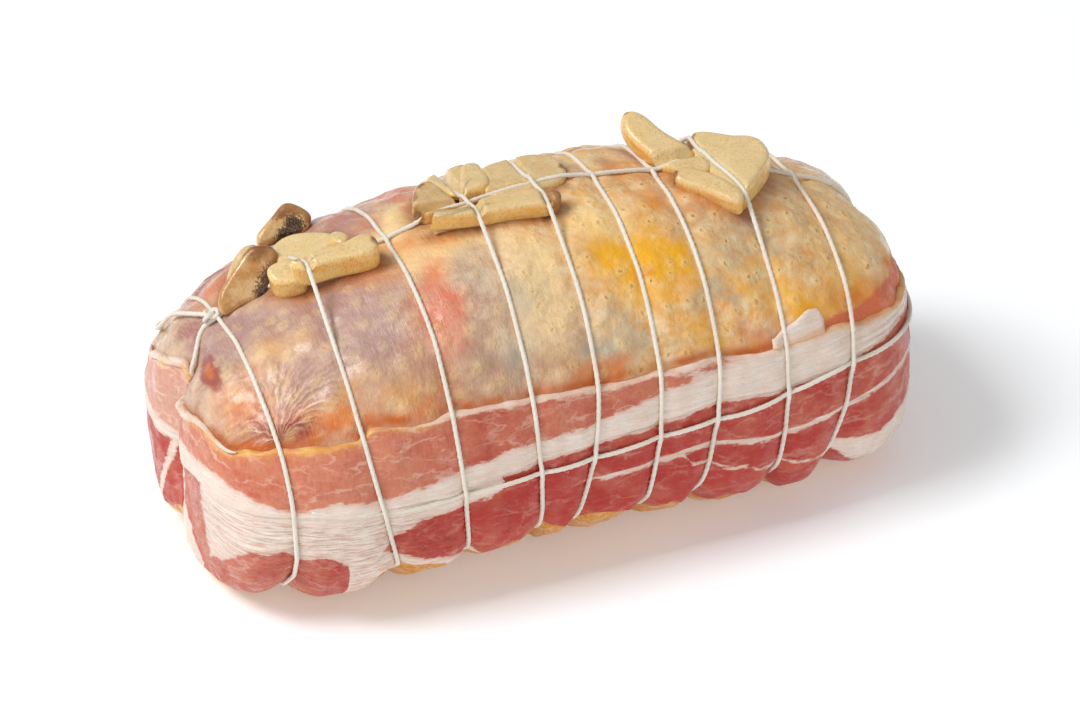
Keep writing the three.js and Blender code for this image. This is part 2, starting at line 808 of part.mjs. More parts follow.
function ringSolid(under, grow) {
  const points = sliceOf(under, (v) => -ringY(v[0], v[2]), 1, 0).map((p) => [p[0], p[2]]);
  const corners = hullPath(points, SIDE_CLEAR, RING_STEPS);
  const path = [];
  corners.forEach((c, k) => {
    const d = corners[(k + 1) % corners.length];
    const span = Math.hypot(d[0] - c[0], d[1] - c[1]);
    const onTop = c[1] + d[1] > 2 * TOP_FROM;
    const cuts = Math.max(1, Math.round(span / (onTop ? TOP_CUT : LOW_CUT)));
    for (let i = 0; i < cuts; i += 1) {
      const x = c[0] + ((d[0] - c[0]) * i) / cuts;
      const z = c[1] + ((d[1] - c[1]) * i) / cuts;
      path.push([x, ringY(x, z), z + (onTop ? ringClimb(x) : 0)]);
    }
  });
  return tube(path, R + grow, STRING_SIDES, [0, 1, 0], true);
}

// The mushroom pieces each turn is tied over.
const TURN_OVER = {
  1: ["left_chunk", "left_block"],
  3: ["mid_slice_front", "mid_slice_upright"],
  4: ["mid_slice_front", "mid_slice_back"],
  7: ["right_slice_front", "right_cap_back"],
};

function turnSolid(k, under, grow) {
  const u = TURN_X[k];
  const points = sliceOf(under, (v) => stationOf(v[0], v[2]) - v[0], 0, u).map((p) => [p[1], p[2]]);
  const path = hullPath(points, SIDE_CLEAR, TURN_STEPS).map(([y, z]) => [leanX(u, z), y, z]);
  return tube(path, R + grow, STRING_SIDES, [1, 0, 0], true);
}

const KNOT_AT = [-86.5, 9.5, 69];
const KNOT_SIZE = [3.2, 3.6, 2.6];

// ---------------------------------------------------------------- assembly
const MEAT_FACET = 0.2; // facets smaller than this are merged after a cut
const MUSHROOM_FACET = 0.12;

const solids = {};
const rasherNames = Object.keys(RASHERS);
rasherNames.forEach((name) => {
  solids[name] = rasherSolid(RASHERS[name]);
});
const wholeRoll = rollSolid();
const beds = [FRONT_BED, BACK_BED].map(bedSolid);
solids.fowl_roll = cutBody(wholeRoll.subtract(Manifold.union(beds)), MEAT_FACET);

const flesh = [solids.fowl_roll, ...rasherNames.map((name) => solids[name])];
solids.string_side = sideStrand(0);
solids.string_lengthwise = ringSolid([...flesh, solids.string_side], 0);
const grownRing = ringSolid([...flesh, solids.string_side], GAP);

const slabs = Object.fromEntries(
  Object.entries(MUSHROOMS).map(([name, m]) => [name, mushroomSolid(m, 0)]),
);
const strands = [solids.string_side, solids.string_lengthwise];
const grownTurns = TURN_X.map((u, k) => {
  const pressed = (TURN_OVER[k] || []).map((name) => {
    return slabs["mushroom_" + name].translate([0, 0, -PRESSED]);
  });
  const under = [...flesh, ...strands, ...pressed];
  solids["string_turn_" + (k + 1)] = turnSolid(k, under, 0);
  return turnSolid(k, under, GAP);
});

const rollBed = wholeRoll.warp((v) => {
  const n = outward(v);
  for (let i = 0; i < 3; i += 1) v[i] += n[i] * GAP;
});
let cutters = Manifold.union([rollBed, grownRing, ...grownTurns]);
Object.entries(MUSHROOMS).forEach(([name, m]) => {
  solids[name] = cutBody(slabs[name].subtract(cutters), MUSHROOM_FACET);
  cutters = cutters.add(mushroomSolid(m, GAP));
});

const ball = new THREE.SphereGeometry(1, 10, 6).scale(...KNOT_SIZE).translate(...KNOT_AT);
const knotBall = solidFromGeometry(ball);
const sideBed = sideStrand(GAP);
solids.string_knot = cutBody(knotBall.subtract(cutters.add(sideBed)), MEAT_FACET);

// ---------------------------------------------------------------- named meshes
const COLOURS = {
  fowl_roll: [0xc9a27a, 0.45],
  bard_front_upper: [0xd98f7c, 0.4],
  bard_front_middle: [0xc05a50, 0.4],
  bard_front_lower: [0xe3b7a6, 0.42],
  bard_back_upper: [0xd49a86, 0.4],
  bard_back_lower: [0xa85a58, 0.4],
};
const MUSHROOM_COLOUR = [0xe6c88e, 0.5];
const STRING_COLOUR = [0xf1ebe0, 0.85];

function colourOf(name) {
  if (COLOURS[name]) return COLOURS[name];
  return name.startsWith("string") ? STRING_COLOUR : MUSHROOM_COLOUR;
}

const bounds = new THREE.Box3();
Object.values(solids).forEach((solid) => {
  const box = solid.boundingBox();
  bounds.expandByPoint(new THREE.Vector3(...box.min));
  bounds.expandByPoint(new THREE.Vector3(...box.max));
});
const middle = bounds.getCenter(new THREE.Vector3());

const roast = new THREE.Group();
const placed = new THREE.Group();
placed.position.set(-middle.x, -middle.y, -bounds.min.z);
roast.add(placed);
const meat = new THREE.Group();
const mushrooms = new THREE.Group();
const string = new THREE.Group();
placed.add(meat, mushrooms, string);

function groupOf(name) {
  if (name.startsWith("string")) return string;
  return name.startsWith("mushroom") ? mushrooms : meat;
}

Object.entries(solids).forEach(([name, solid]) => {
  const geometry = new THREE.BufferGeometry();
  const positions = new Float32Array(verticesOf(solid).flat());
  geometry.setAttribute("position", new THREE.BufferAttribute(positions, 3));
  geometry.setIndex(new THREE.BufferAttribute(solid.getMesh().triVerts, 1));
  geometry.computeVertexNormals();
  const [color, roughness] = colourOf(name);
  const material = new THREE.MeshStandardMaterial({ color, roughness, metalness: 0 });
  const piece = new THREE.Mesh(geometry, material);
  piece.name = name;
  groupOf(name).add(piece);
});

export default roast;
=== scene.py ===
# %% [markdown]
# # A raw guinea fowl roast
# The bird is boned, rolled skin side out, wrapped round its flanks with rashers, tied with cotton
# string and topped with three small heaps of sliced mushrooms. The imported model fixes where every
# piece lies. This lesson gives each piece its true surface. Lengths are millimetres in the roll's
# own frame, and the step that makes a mesh turns them into metres in the part's frame.

# %% Load the frame
import math
import bpy
import numpy as np
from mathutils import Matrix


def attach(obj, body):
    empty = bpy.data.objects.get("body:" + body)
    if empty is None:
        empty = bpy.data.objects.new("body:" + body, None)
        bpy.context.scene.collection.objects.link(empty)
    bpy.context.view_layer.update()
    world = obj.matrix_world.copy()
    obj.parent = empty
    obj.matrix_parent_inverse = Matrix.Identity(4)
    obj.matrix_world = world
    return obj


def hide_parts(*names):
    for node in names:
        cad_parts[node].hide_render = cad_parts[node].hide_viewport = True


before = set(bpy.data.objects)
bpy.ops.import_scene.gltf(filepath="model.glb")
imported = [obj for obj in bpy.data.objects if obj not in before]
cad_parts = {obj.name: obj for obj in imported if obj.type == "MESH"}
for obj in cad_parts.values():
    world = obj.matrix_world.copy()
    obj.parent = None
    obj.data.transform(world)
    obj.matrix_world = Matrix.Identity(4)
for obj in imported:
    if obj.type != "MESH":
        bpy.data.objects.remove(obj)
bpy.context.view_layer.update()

# %% [markdown]
# ## The camera
# A long lens from well above and a little to the right of the front keeps the roll's long edges
# nearly parallel, as a product picture has them. It could be aimed with a constraint, but a fixed
# place and turn give the same picture every time.

# %% Place the camera
MM = 0.001
ROLL_MIDDLE = np.array([-0.92, 0.434, 0.0])  # the roll's own middle in the part's frame
VIEW_TURN = math.radians(21.9)
VIEW_TILT = math.radians(34.0)
VIEW_RANGE = 1594.0
LENS = 200.0
AIM = np.array([0.0, 0.0, 41.0])
AIM_SHIFT = [2.09, -2.82]  # the picture's middle lies this far right of and above the aim
SENSOR_WIDTH = 36.0
SEE_TO = 20.0

right = np.array([math.cos(VIEW_TURN), -math.sin(VIEW_TURN), 0.0])
flat_ahead = np.array([math.sin(VIEW_TURN), math.cos(VIEW_TURN), 0.0])
down = np.array([0.0, 0.0, -1.0])
ahead = flat_ahead * math.cos(VIEW_TILT) + down * math.sin(VIEW_TILT)
above = np.cross(right, ahead)
eye = AIM + right * AIM_SHIFT[0] + above * AIM_SHIFT[1] - ahead * VIEW_RANGE + ROLL_MIDDLE

scene = bpy.context.scene
camera = bpy.data.objects.new("camera", bpy.data.cameras.new("camera"))
scene.collection.objects.link(camera)
camera.data.lens = LENS
camera.data.sensor_width = SENSOR_WIDTH
camera.data.clip_end = SEE_TO
placing = np.eye(4)
placing[:3, :3] = np.stack([right, above, -ahead], axis=1)
placing[:3, 3] = eye * MM
camera.matrix_world = placing.T.tolist()  # Blender wants the columns
scene.camera = camera
print("camera at", (eye * MM).round(3))

# %% [markdown]
# ## Floor and light
# The roast lies on a plain white table under a broad soft light from the left, with a weaker one
# over the camera, so the shadow falls softly to the right. Large area lights far away do this:
# their falloff over the table is too small to see.

# %% Build the floor and the lights
FLOOR_HALF = 6.0
FLOOR_GLOW, SKY_GLOW = 0.2, 0.34


def paint(hex_colour):
    """The linear colour of a hex colour, as Blender's sockets want it."""
    parts = [int(hex_colour[i:i + 2], 16) / 255 for i in (1, 3, 5)]
    return [c / 12.92 if c <= 0.04045 else ((c + 0.055) / 1.055) ** 2.4 for c in parts] + [1.0]


def add_light(name, direction, distance, size, power):
    """A square area light at the distance along the direction, facing the roast."""
    light = bpy.data.lights.new(name, "AREA")
    light.size = size
    light.energy = power
    holder = bpy.data.objects.new(name, light)
    toward = np.array(direction) / np.linalg.norm(direction)
    side = np.cross([0.0, 0.0, 1.0], toward)
    side /= np.linalg.norm(side)
    place = np.eye(4)
    place[:3, :3] = np.stack([side, np.cross(toward, side), toward], axis=1)
    place[:3, 3] = toward * distance
    holder.matrix_world = place.T.tolist()
    scene.collection.objects.link(holder)
    return holder


from_left = -0.75 * right - 0.25 * flat_ahead - 1.0 * down
from_camera = 0.25 * right - 1.0 * flat_ahead - 0.55 * down
add_light("key", from_left, distance=2.6, size=1.1, power=48.0)
add_light("fill", from_camera, distance=3.0, size=1.8, power=15.0)

world = bpy.data.worlds.new("studio")
world.use_nodes = True
sky = world.node_tree.nodes["Background"].inputs
sky["Color"].default_value = paint("#ffffff")
sky["Strength"].default_value = SKY_GLOW
scene.world = world
scene.view_settings.view_transform = "Standard"

corners = [(-1, -1), (1, -1), (1, 1), (-1, 1)]
floor_mesh = bpy.data.meshes.new("floor")
floor_mesh.from_pydata([(x * FLOOR_HALF, y * FLOOR_HALF, 0.0) for x, y in corners], [], [(0, 1, 2, 3)])
floor = bpy.data.objects.new("floor", floor_mesh)
scene.collection.objects.link(floor)
floor_paint = bpy.data.materials.new("floor_white")
floor_paint.use_nodes = True
floor_looks = {
    "Base Color": paint("#f8fcff"), "Roughness": 0.9, "Specular IOR Level": 0.1,
    "Emission Color": paint("#ffffff"), "Emission Strength": FLOOR_GLOW,
}
for name, value in floor_looks.items():
    floor_paint.node_tree.nodes["Principled BSDF"].inputs[name].default_value = value
floor_mesh.materials.append(floor_paint)
print("floor and", len(bpy.data.lights), "lights made")

# %% [markdown]
# ## The roll as a formula
# The meat is a blunt loaf. Seen from above its outline is a superellipse, seen from the side its
# crest is another, and each section is a third. One formula in station and angle gives every point,
# so rashers, strings and skin can all be laid on it without any fitting.

# %% Driving sizes of the loaf
HALF_LENGTH = 100.0
HALF_WIDTH = 50.0
HEIGHT = 90.5
WAIST = 26.5  # height at which the flanks stand furthest out
SETTLE = 2.0
PLAN_POWER, SIDE_POWER, TOP_POWER, FOOT_POWER = 4, 8, 2.4, 2.5


def smooth(v):
    """0 below 0, 1 above 1, an S-curve between."""
    t = np.clip(v, 0, 1)
    return t * t * (3 - 2 * t)


def bell(v):
    """1 at 0, falling to nothing past 2, the same on both sides."""
    return np.exp(-np.square(v))


def signed_power(v, power):
    """The power of the size of v, with the sign of v."""
    return np.sign(v) * np.abs(v) ** power


def taper(x, power):
    """1 along the middle, closing to 0 at the ends; a larger power closes more squarely."""
    return (1 - np.clip(np.abs(x) / HALF_LENGTH, 0, 1) ** power) ** (1 / power)


def half_width(x):
    """Half the width at station x: a little wider at the left, closed like a superellipse."""
    s = x / 100
    return HALF_WIDTH * (1 - 0.065 * s + 0.06 * s * s) * taper(x, PLAN_POWER)


def crest(x):
    """Height of the top line at station x: an arch, closed squarely at both ends."""
    s = x / 100
    full = HEIGHT * (1 + 0.033 * s - 0.29 * s * s)
    return WAIST + (full - WAIST) * taper(x, SIDE_POWER)


def section_point(x, angle):
    """Loaf point at station x: across by the cosine, up by the sine, both powered to a superellipse.
    The angle is 0 at the back, a quarter turn on the crest and half a turn at the front."""
    up = np.sin(angle) > 0
    power = 2 / np.where(up, TOP_POWER, FOOT_POWER)
    rise = np.where(up, crest(x) - WAIST, (WAIST + SETTLE) * taper(x, SIDE_POWER))
    y = half_width(x) * signed_power(np.cos(angle), power)
    z = np.maximum(WAIST + rise * signed_power(np.sin(angle), power), 0)
    return np.stack(np.broadcast_arrays(x, y, z), axis=-1)


print("crest at mid length", float(crest(np.array(0.0))))

# %% [markdown]
# Rashers run round the flanks, so they need another way to name a place: how far round the girth,
# and how high. A ray leaves the axis of the loaf square to each flank and fans out round each end,
# and halving the step finds where it leaves the meat.

# %% Places on the flank
FAN = 60.0
STRAIGHT = 160.0
GIRTH = 2 * STRAIGHT + 4 * FAN
FAN_X = STRAIGHT / 2
GIRTH_MARKS = [0, FAN, FAN + STRAIGHT, 3 * FAN + STRAIGHT, 3 * FAN + 2 * STRAIGHT, GIRTH]
QUARTER = math.pi / 2
HALVINGS = 26  # a width halved this often is far below a thousandth of a millimetre


def inside_loaf(x, y, z):
    """True where the powered sum of the two shares of the section is below 1."""
    up = z > WAIST
    power = np.where(up, TOP_POWER, FOOT_POWER)
    rise = np.where(up, crest(x) - WAIST, (WAIST + SETTLE) * taper(x, SIDE_POWER))
    tall = np.abs(z - WAIST) / np.maximum(rise, 1e-6)
    wide = np.abs(y) / np.maximum(half_width(x), 1e-6)
    return (np.abs(x) < HALF_LENGTH) & (wide**power + tall**power < 1)


def flank_point(s, z):
    """Point of the flank at girth place s (0 right end, 140 front, 280 left end, 420 back)."""
    round_once = np.mod(s, GIRTH)
    turn = np.interp(round_once, GIRTH_MARKS, np.array([0, 1, 1, 3, 3, 4]) * QUARTER)
    start = np.interp(round_once, GIRTH_MARKS, [FAN_X, FAN_X, -FAN_X, -FAN_X, FAN_X, FAN_X])
    near = np.zeros(np.broadcast(s, z).shape)
    far = near + 2 * HALF_WIDTH
    for _ in range(HALVINGS):
        mid = (near + far) / 2
        held = inside_loaf(start + np.cos(turn) * mid, -np.sin(turn) * mid, z)
        near = np.where(held, mid, near)
        far = np.where(held, far, mid)
    x = start + np.cos(turn) * near
    return np.stack(np.broadcast_arrays(x, -np.sin(turn) * near, z), axis=-1)


def girth_place(points):
    """The girth place of each point: its turn about the ends, or its station along a flank."""
    x, y = points[..., 0], points[..., 1]
    turn = np.mod(np.arctan2(-y, np.abs(x) - FAN_X), 2 * math.pi)
    at_right = np.mod(turn / QUARTER * FAN, GIRTH)
    at_left = 2 * FAN + STRAIGHT + np.arctan2(y, -x - FAN_X) / QUARTER * FAN
    along = np.where(y < 0, FAN + FAN_X - x, 3 * FAN + STRAIGHT + FAN_X + x)
    return np.where(x > FAN_X, at_right, np.where(x < -FAN_X, at_left, along))


print("front middle lies at", flank_point(np.array(140.0), np.array(40.0)).round(1))

# %% [markdown]
# Nine turns of string bite into the roll and leave a pillow of meat between each pair. The turns
# wander a little along the roast at their feet. The lengthwise string draws a cleft into each end
# and a groove into the underside. The bite could be carved by the string itself, but a formula of
# the station is smooth at any fineness.

# %% The bite of the string
TURN_X = np.array([-84.5, -64.5, -40.5, -18.5, 0, 17.5, 34.5, 54, 75])
TURN_FOOT = np.array([1.5, 8, 3.5, 2, -7, -4.5, -6, -2.5, -8])
WANDER_FROM, WANDER_SPAN = 62, 44
PINCH_TOP, PINCH_FOOT = 1.2, 5.2
LOW_EDGE, LOW_EDGE_SPAN = 38, 30
PILLOW_POWER, PILLOW_FULL = 0.6, 1.12
LEFT_SHOULDER, RIGHT_SHOULDER = 9, 11
CLEFT_FROM, CLEFT_RUN, CLEFT_HALF = 86, 11, 6.5
LEFT_CLEFT_Y, LEFT_CLEFT_DEPTH = 5, 5
RIGHT_CLEFT_Y, RIGHT_CLEFT_DEPTH = 1.5, 3
GROOVE_FROM, GROOVE_RUN, GROOVE_DEPTH, GROOVE_HALF = 14, 10, 7, 4.5
FOOT_TUCK, TUCK_FROM, TUCK_RUN = 6.5, 24, 20  # depth, height where it starts, height it takes
TUCK_HALF_WIDTH, TUCK_MIDDLE, TUCK_SPAN = 30, -5, 55


def wander(u, z):
    """How far a turn through station u leans along the roast at height z: more towards its foot."""
    reach = np.interp(u, [-HALF_LENGTH, *TURN_X, HALF_LENGTH], [0, *TURN_FOOT, 0])
    return reach * np.clip((WANDER_FROM - z) / WANDER_SPAN, 0, 1) ** 1.5


def station_of(x, z):
    """The crest station of the turn that passes through x at height z, found by repeated guesses."""
    u = x
    for _ in range(4):
        u = x - wander(u, z)
    return u


def bite(u):
    """1 under a turn of string, 0 on the full pillow between two: a powered parabola of the share."""
    k = np.clip(np.searchsorted(TURN_X, u) - 1, 0, len(TURN_X) - 2)
    share = np.clip((u - TURN_X[k]) / (TURN_X[k + 1] - TURN_X[k]), 0, 1)
    full = np.minimum(1, PILLOW_FULL * (4 * share * (1 - share)) ** PILLOW_POWER)
    left = smooth((TURN_X[0] - u) / LEFT_SHOULDER) ** PILLOW_POWER
    far = smooth((u - TURN_X[-1]) / RIGHT_SHOULDER) ** PILLOW_POWER
    return 1 - np.where(u < TURN_X[0], left, np.where(u > TURN_X[-1], far, full))


def sink(points):
    """How far the meat lies inside the even loaf: the deepest of the pinch, the clefts, the groove."""
    x, y, z = np.moveaxis(points, -1, 0)
    low = smooth((LOW_EDGE - z) / LOW_EDGE_SPAN)
    pinch = bite(station_of(x, z)) * (PINCH_TOP + (PINCH_FOOT - PINCH_TOP) * low)
    left = smooth((-CLEFT_FROM - x) / CLEFT_RUN) * LEFT_CLEFT_DEPTH
    left = left * bell((y - LEFT_CLEFT_Y) / CLEFT_HALF)
    far = smooth((x - CLEFT_FROM) / CLEFT_RUN) * RIGHT_CLEFT_DEPTH
    far = far * bell((y - RIGHT_CLEFT_Y) / CLEFT_HALF)
    under = smooth((GROOVE_FROM - z) / GROOVE_RUN) * GROOVE_DEPTH
    under = under * np.maximum(0, 1.05 * bell((y - RIGHT_CLEFT_Y) / GROOVE_HALF) - 0.05)
    return np.maximum(np.maximum(pinch, left), np.maximum(far, under))


def outward(points):
    """The direction in which the meat swells: the slope of the powered sum of the three shares."""
    x, y, z = np.moveaxis(points, -1, 0)
    rise = np.where(z > WAIST, HEIGHT - WAIST, WAIST)
    lean = np.stack([
        signed_power(x / HALF_LENGTH, SIDE_POWER - 1) / HALF_LENGTH,
        signed_power(y / HALF_WIDTH, TOP_POWER - 1) / HALF_WIDTH,
        signed_power((z - WAIST) / rise, TOP_POWER - 1) / rise,
    ], axis=-1)
    return lean / np.maximum(np.linalg.norm(lean, axis=-1, keepdims=True), 1e-9)


def front_tuck(points):
    """How far the foot of the front draws back, most near mid length."""
    x, y, z = np.moveaxis(points, -1, 0)
    low = smooth((TUCK_FROM - z) / TUCK_RUN) * smooth(-y / TUCK_HALF_WIDTH)
    return FOOT_TUCK * low * bell((x - TUCK_MIDDLE) / TUCK_SPAN)


def skin_point(points, lift):
    """The loaf point moved outward by the lift, less what the string presses in, foot drawn back."""
    tuck = front_tuck(points)[..., None] * np.array([0, 1, 0])
    return points + outward(points) * (lift - sink(points))[..., None] + tuck


print("bite at the turns", bite(TURN_X).round(2))
print("foot drawn back by", front_tuck(np.array([[-5.0, -40.0, 2.0]])).round(2), "mm at most")

# %% [markdown]
# Meat is never smooth. A lattice of random numbers, blended between its corners, gives lumps of any
# size, and a few sizes added together give an uneven surface. The random numbers come from a fixed
# seed, so the roast is the same every time.

# %% Noise for lumps and ragged edges
LATTICE = 32


def noise(points, size, seed):
    """Smooth random values from -1 to 1: eight corners of a random lattice, blended by S-curves."""
    table = np.random.default_rng(seed).random((LATTICE, LATTICE, LATTICE))
    place = np.asarray(points) / size
    cell = np.floor(place).astype(int)
    share = smooth(place - cell)
    total = np.zeros(place.shape[:-1])
    for corner in np.ndindex(2, 2, 2):
        weight = np.prod(np.where(corner, share, 1 - share), axis=-1)
        i, j, k = np.moveaxis((cell + corner) % LATTICE, -1, 0)
        total += weight * table[i, j, k]
    return 2 * total - 1


def rough(points, size, seed, octaves=3):
    """Noise at a size, at half of it, and so on, each half as strong as the one before."""
    return sum(noise(points, size / 2**k, seed + k) / 2**k for k in range(octaves))


def flat_place(a, b):
    """Two surface measures as points, so that noise can be read from them."""
    return np.stack(np.broadcast_arrays(a, b, 0.0), axis=-1)


print("noise sample", noise(np.zeros((1, 3)) + 0.5, 1.0, 1).round(3))

# %% [markdown]
# Every piece here is a sheet of points in rows. A closed skin wraps each row on itself; its ends
# are shut by a fan to a middle point, or the last row joins the first. One helper turns such a
# sheet into a mesh with smooth shading, turns its faces outwards, and stores the measures that the
# materials read, such as how fat or how yellow each point is.

# %% Turn a sheet of points into a piece
def sheet_faces(rows, cols, ring=False):
    """Quads between neighbouring rows, each row wrapped; with ring, the last row meets the first."""
    i, j = np.meshgrid(np.arange(rows if ring else rows - 1), np.arange(cols), indexing="ij")
    after, beside = (i + 1) % rows, (j + 1) % cols
    corners = [i * cols + j, i * cols + beside, after * cols + beside, after * cols + j]
    return np.stack(corners, axis=-1).reshape(-1, 4)


def fan_faces(rim, pole, flip):
    """Triangles from a pole to each step of a rim."""
    beside = np.roll(rim, -1)
    order = [beside, rim] if flip else [rim, beside]
    return np.stack([np.full(len(rim), pole), *order], axis=-1)


def signed_volume(points, faces):
    """Sum of the tetrahedra from the origin to each face: below zero if the faces point inwards."""
    a, b, c = (points[faces[:, k]] for k in range(3))
    return float(np.sum(np.einsum("ij,ij->i", a, np.cross(b, c))))


def make_piece(name, points, faces, fields, material, slot, *nodes):
    """A finished piece: mesh in metres, fields as attributes, riding on the one body."""
    points = np.asarray(points, float).reshape(-1, 3)
    whole = sum(signed_volume(points, f) * (2 if f.shape[1] == 4 else 1) for f in faces)
    if whole < 0:
        faces = [f[:, ::-1] for f in faces]
    mesh = bpy.data.meshes.new(name)
    mesh.from_pydata(((points + ROLL_MIDDLE) * MM).tolist(), [], sum((f.tolist() for f in faces), []))
    for key, values in fields.items():
        values = np.asarray(values, np.float32)
        kind = "FLOAT" if values.size == len(points) else "FLOAT_VECTOR"
        field = mesh.attributes.new(key, kind, "POINT")
        field.data.foreach_set("value" if kind == "FLOAT" else "vector", values.ravel())
    mesh.shade_smooth()
    mesh.materials.append(material)
    piece = bpy.data.objects.new(name, mesh)
    scene.collection.objects.link(piece)
    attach(piece, "root")
    if nodes:
        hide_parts(*nodes)
    print(name, "has", sum(len(f) * (f.shape[1] - 2) for f in faces), "triangles")
    return piece


def with_poles(grid, fields):
    """A sheet of wrapped rows with a middle point added at each end, and the faces that close it."""
    rows, cols = grid.shape[:2]
    poles = [grid[0].mean(axis=0), grid[-1].mean(axis=0)]
    points = np.concatenate([grid.reshape(-1, 3), poles])
    closed = {}
    for key, values in fields.items():
        values = np.asarray(values).reshape(rows * cols, -1)
        closed[key] = np.concatenate([values, values[:1], values[-1:]])
    first, last = np.arange(cols), (rows - 1) * cols + np.arange(cols)
    tris = np.concatenate([
        fan_faces(first, rows * cols, True),
        fan_faces(last, rows * cols + 1, False),
    ])
    return points, [sheet_faces(rows, cols), tris], closed

# %% [markdown]
# ## Shader helpers
# A material is a small network. These helpers add one node each and return its output, so that a
# network reads like a formula. Patterns are worked out in millimetres.

# %% Small functions that add nodes
def feed(tree, socket, value):
    """Links an output to the socket, or sets the socket's own value."""
    if isinstance(value, bpy.types.NodeSocket):
        tree.links.new(value, socket)
    else:
        socket.default_value = value


def node(tree, kind, inputs, out=0, **settings):
    """One node with its settings and inputs, by name or number; returns the output asked for."""
    made = tree.nodes.new(kind)
    for key, value in settings.items():
        setattr(made, key, value)
    for key, value in inputs.items():
        feed(tree, made.inputs[key], value)
    return made.outputs[out]


def calc(tree, operation, a, b=0.0):
    """One sum, product or power of two values."""
    return node(tree, "ShaderNodeMath", {0: a, 1: b}, operation=operation)


def times(tree, *factors):
    """The product of several values."""
    product = factors[0]
    for factor in factors[1:]:
        product = calc(tree, "MULTIPLY", product, factor)
    return product


def line(tree, value, slope, shift=0.0):
    """The value times a slope, plus a shift."""
    return node(tree, "ShaderNodeMath", {0: value, 1: slope, 2: shift}, operation="MULTIPLY_ADD")


def rest(tree, value, share=1.0):
    """What a share of the value leaves of 1."""
    return line(tree, value, -share, 1.0)


def ease(tree, value, low, high):
    """0 where the value is at low, 1 where it is at high, an S-curve between."""
    inputs = {"Value": value, "From Min": low, "From Max": high}
    return node(tree, "ShaderNodeMapRange", inputs, interpolation_type="SMOOTHSTEP")


def tint(tree, share, a, b):
    """Colour a turning to colour b as the share goes from 0 to 1."""
    a = paint(a) if isinstance(a, str) else a
    b = paint(b) if isinstance(b, str) else b
    return node(tree, "ShaderNodeMix", {0: share, 6: a, 7: b}, out=2, data_type="RGBA")


def stains(tree, colour, *layers):
    """The colour turned to the hue of each layer in turn, by the product of the layer's factors.
    A product below 0 counts as 0, and one above 1 as 1."""
    for hue, *factors in layers:
        colour = tint(tree, times(tree, *factors), colour, hue)
    return colour


def field(tree, name, out="Fac"):
    """A measure stored on the piece; its plain value, or its vector."""
    return node(tree, "ShaderNodeAttribute", {}, out=out, attribute_name=name)


def stretch(tree, vector, factors):
    """The place, with each axis made finer or coarser."""
    return node(tree, "ShaderNodeVectorMath", {0: vector, 1: factors}, operation="MULTIPLY")


def grain(tree, vector, scale, detail=3.0, roughness=0.55):
    """Noise of a number of bumps to the millimetre."""
    inputs = {"Vector": vector, "Scale": scale, "Detail": detail, "Roughness": roughness}
    return node(tree, "ShaderNodeTexNoise", inputs)


def in_mm(tree):
    """Object coordinates in millimetres."""
    place = node(tree, "ShaderNodeTexCoord", {}, out="Object")
    return stretch(tree, place, (1000.0, 1000.0, 1000.0))


def new_material(name, roughness, subsurface, radius):
    """An empty material with its Principled shader: gloss under a thin wet film, and some depth."""
    material = bpy.data.materials.new(name)
    material.use_nodes = True
    tree = material.node_tree
    shader = tree.nodes["Principled BSDF"]
    shader.inputs["Roughness"].default_value = roughness
    shader.inputs["Subsurface Weight"].default_value = subsurface
    shader.inputs["Subsurface Radius"].default_value = radius
    shader.inputs["Subsurface Scale"].default_value = 0.0012
    shader.inputs["Coat Roughness"].default_value = 0.16
    shader.inputs["IOR"].default_value = 1.4
    return material, tree, shader


def bumps(tree, *layers):
    """A surface normal tilted by one height after another: each has a distance and a strength."""
    under = {}
    for height, distance, strength in layers:
        inputs = {"Height": height, "Distance": distance, "Strength": strength, **under}
        under = {"Normal": node(tree, "ShaderNodeBump", inputs)}
    return under["Normal"]


def dress(tree, shader, inputs):
    """Gives the shader its colour, gloss and normal by the names of its sockets."""
    for name, value in inputs.items():
        feed(tree, shader.inputs[name], value)
    print("shader fed with", sorted(inputs), "by a network of", len(tree.nodes), "nodes")


print("helpers ready, Blender", bpy.app.version_string)

# %% [markdown]
# Five effects are node groups that are built once: a patchy wet film, long streaks as of muscle or
# fat fibre, the lacy white threads of marbling, soft blotches, and the folds of gathered skin. Each
# only puts out a mask, and each material decides what the mask does.

# %% Shared effects as node groups
def new_group(name, inputs, outputs):
    """A node group with named inputs and outputs, its first input being a place."""
    group = bpy.data.node_groups.new(name, "ShaderNodeTree")
    group.interface.new_socket("Place", in_out="INPUT", socket_type="NodeSocketVector")
    for key, value in inputs.items():
        socket = group.interface.new_socket(key, in_out="INPUT", socket_type="NodeSocketFloat")
        socket.default_value = value
    for key in outputs:
        group.interface.new_socket(key, in_out="OUTPUT", socket_type="NodeSocketFloat")
    return group, group.nodes.new("NodeGroupInput").outputs, group.nodes.new("NodeGroupOutput").inputs


def stretched(tree, place, along, across):
    """The place in lengths of a streak along its first axis and widths across the others."""
    parts = tree.nodes.new("ShaderNodeSeparateXYZ")
    feed(tree, parts.inputs[0], place)
    inputs = {
        0: calc(tree, "DIVIDE", parts.outputs[0], along),
        1: calc(tree, "DIVIDE", parts.outputs[1], across),
        2: calc(tree, "DIVIDE", parts.outputs[2], across),
    }
    return node(tree, "ShaderNodeCombineXYZ", inputs)


def make_wet_film():
    """Film: patches where noise passes a threshold. Roughness: dry outside them, glossy within."""
    inputs = {"Patch": 4.0, "Dry": 0.5, "Wet": 0.25}
    tree, given, result = new_group("wet_film", inputs, ["Film", "Roughness"])
    place = stretched(tree, given["Place"], given["Patch"], given["Patch"])
    film = ease(tree, grain(tree, place, 1.0, 4.0), 0.42, 0.62)
    change = calc(tree, "SUBTRACT", given["Wet"], given["Dry"])
    feed(tree, result["Film"], film)
    feed(tree, result["Roughness"], line(tree, film, change, given["Dry"]))
    return tree


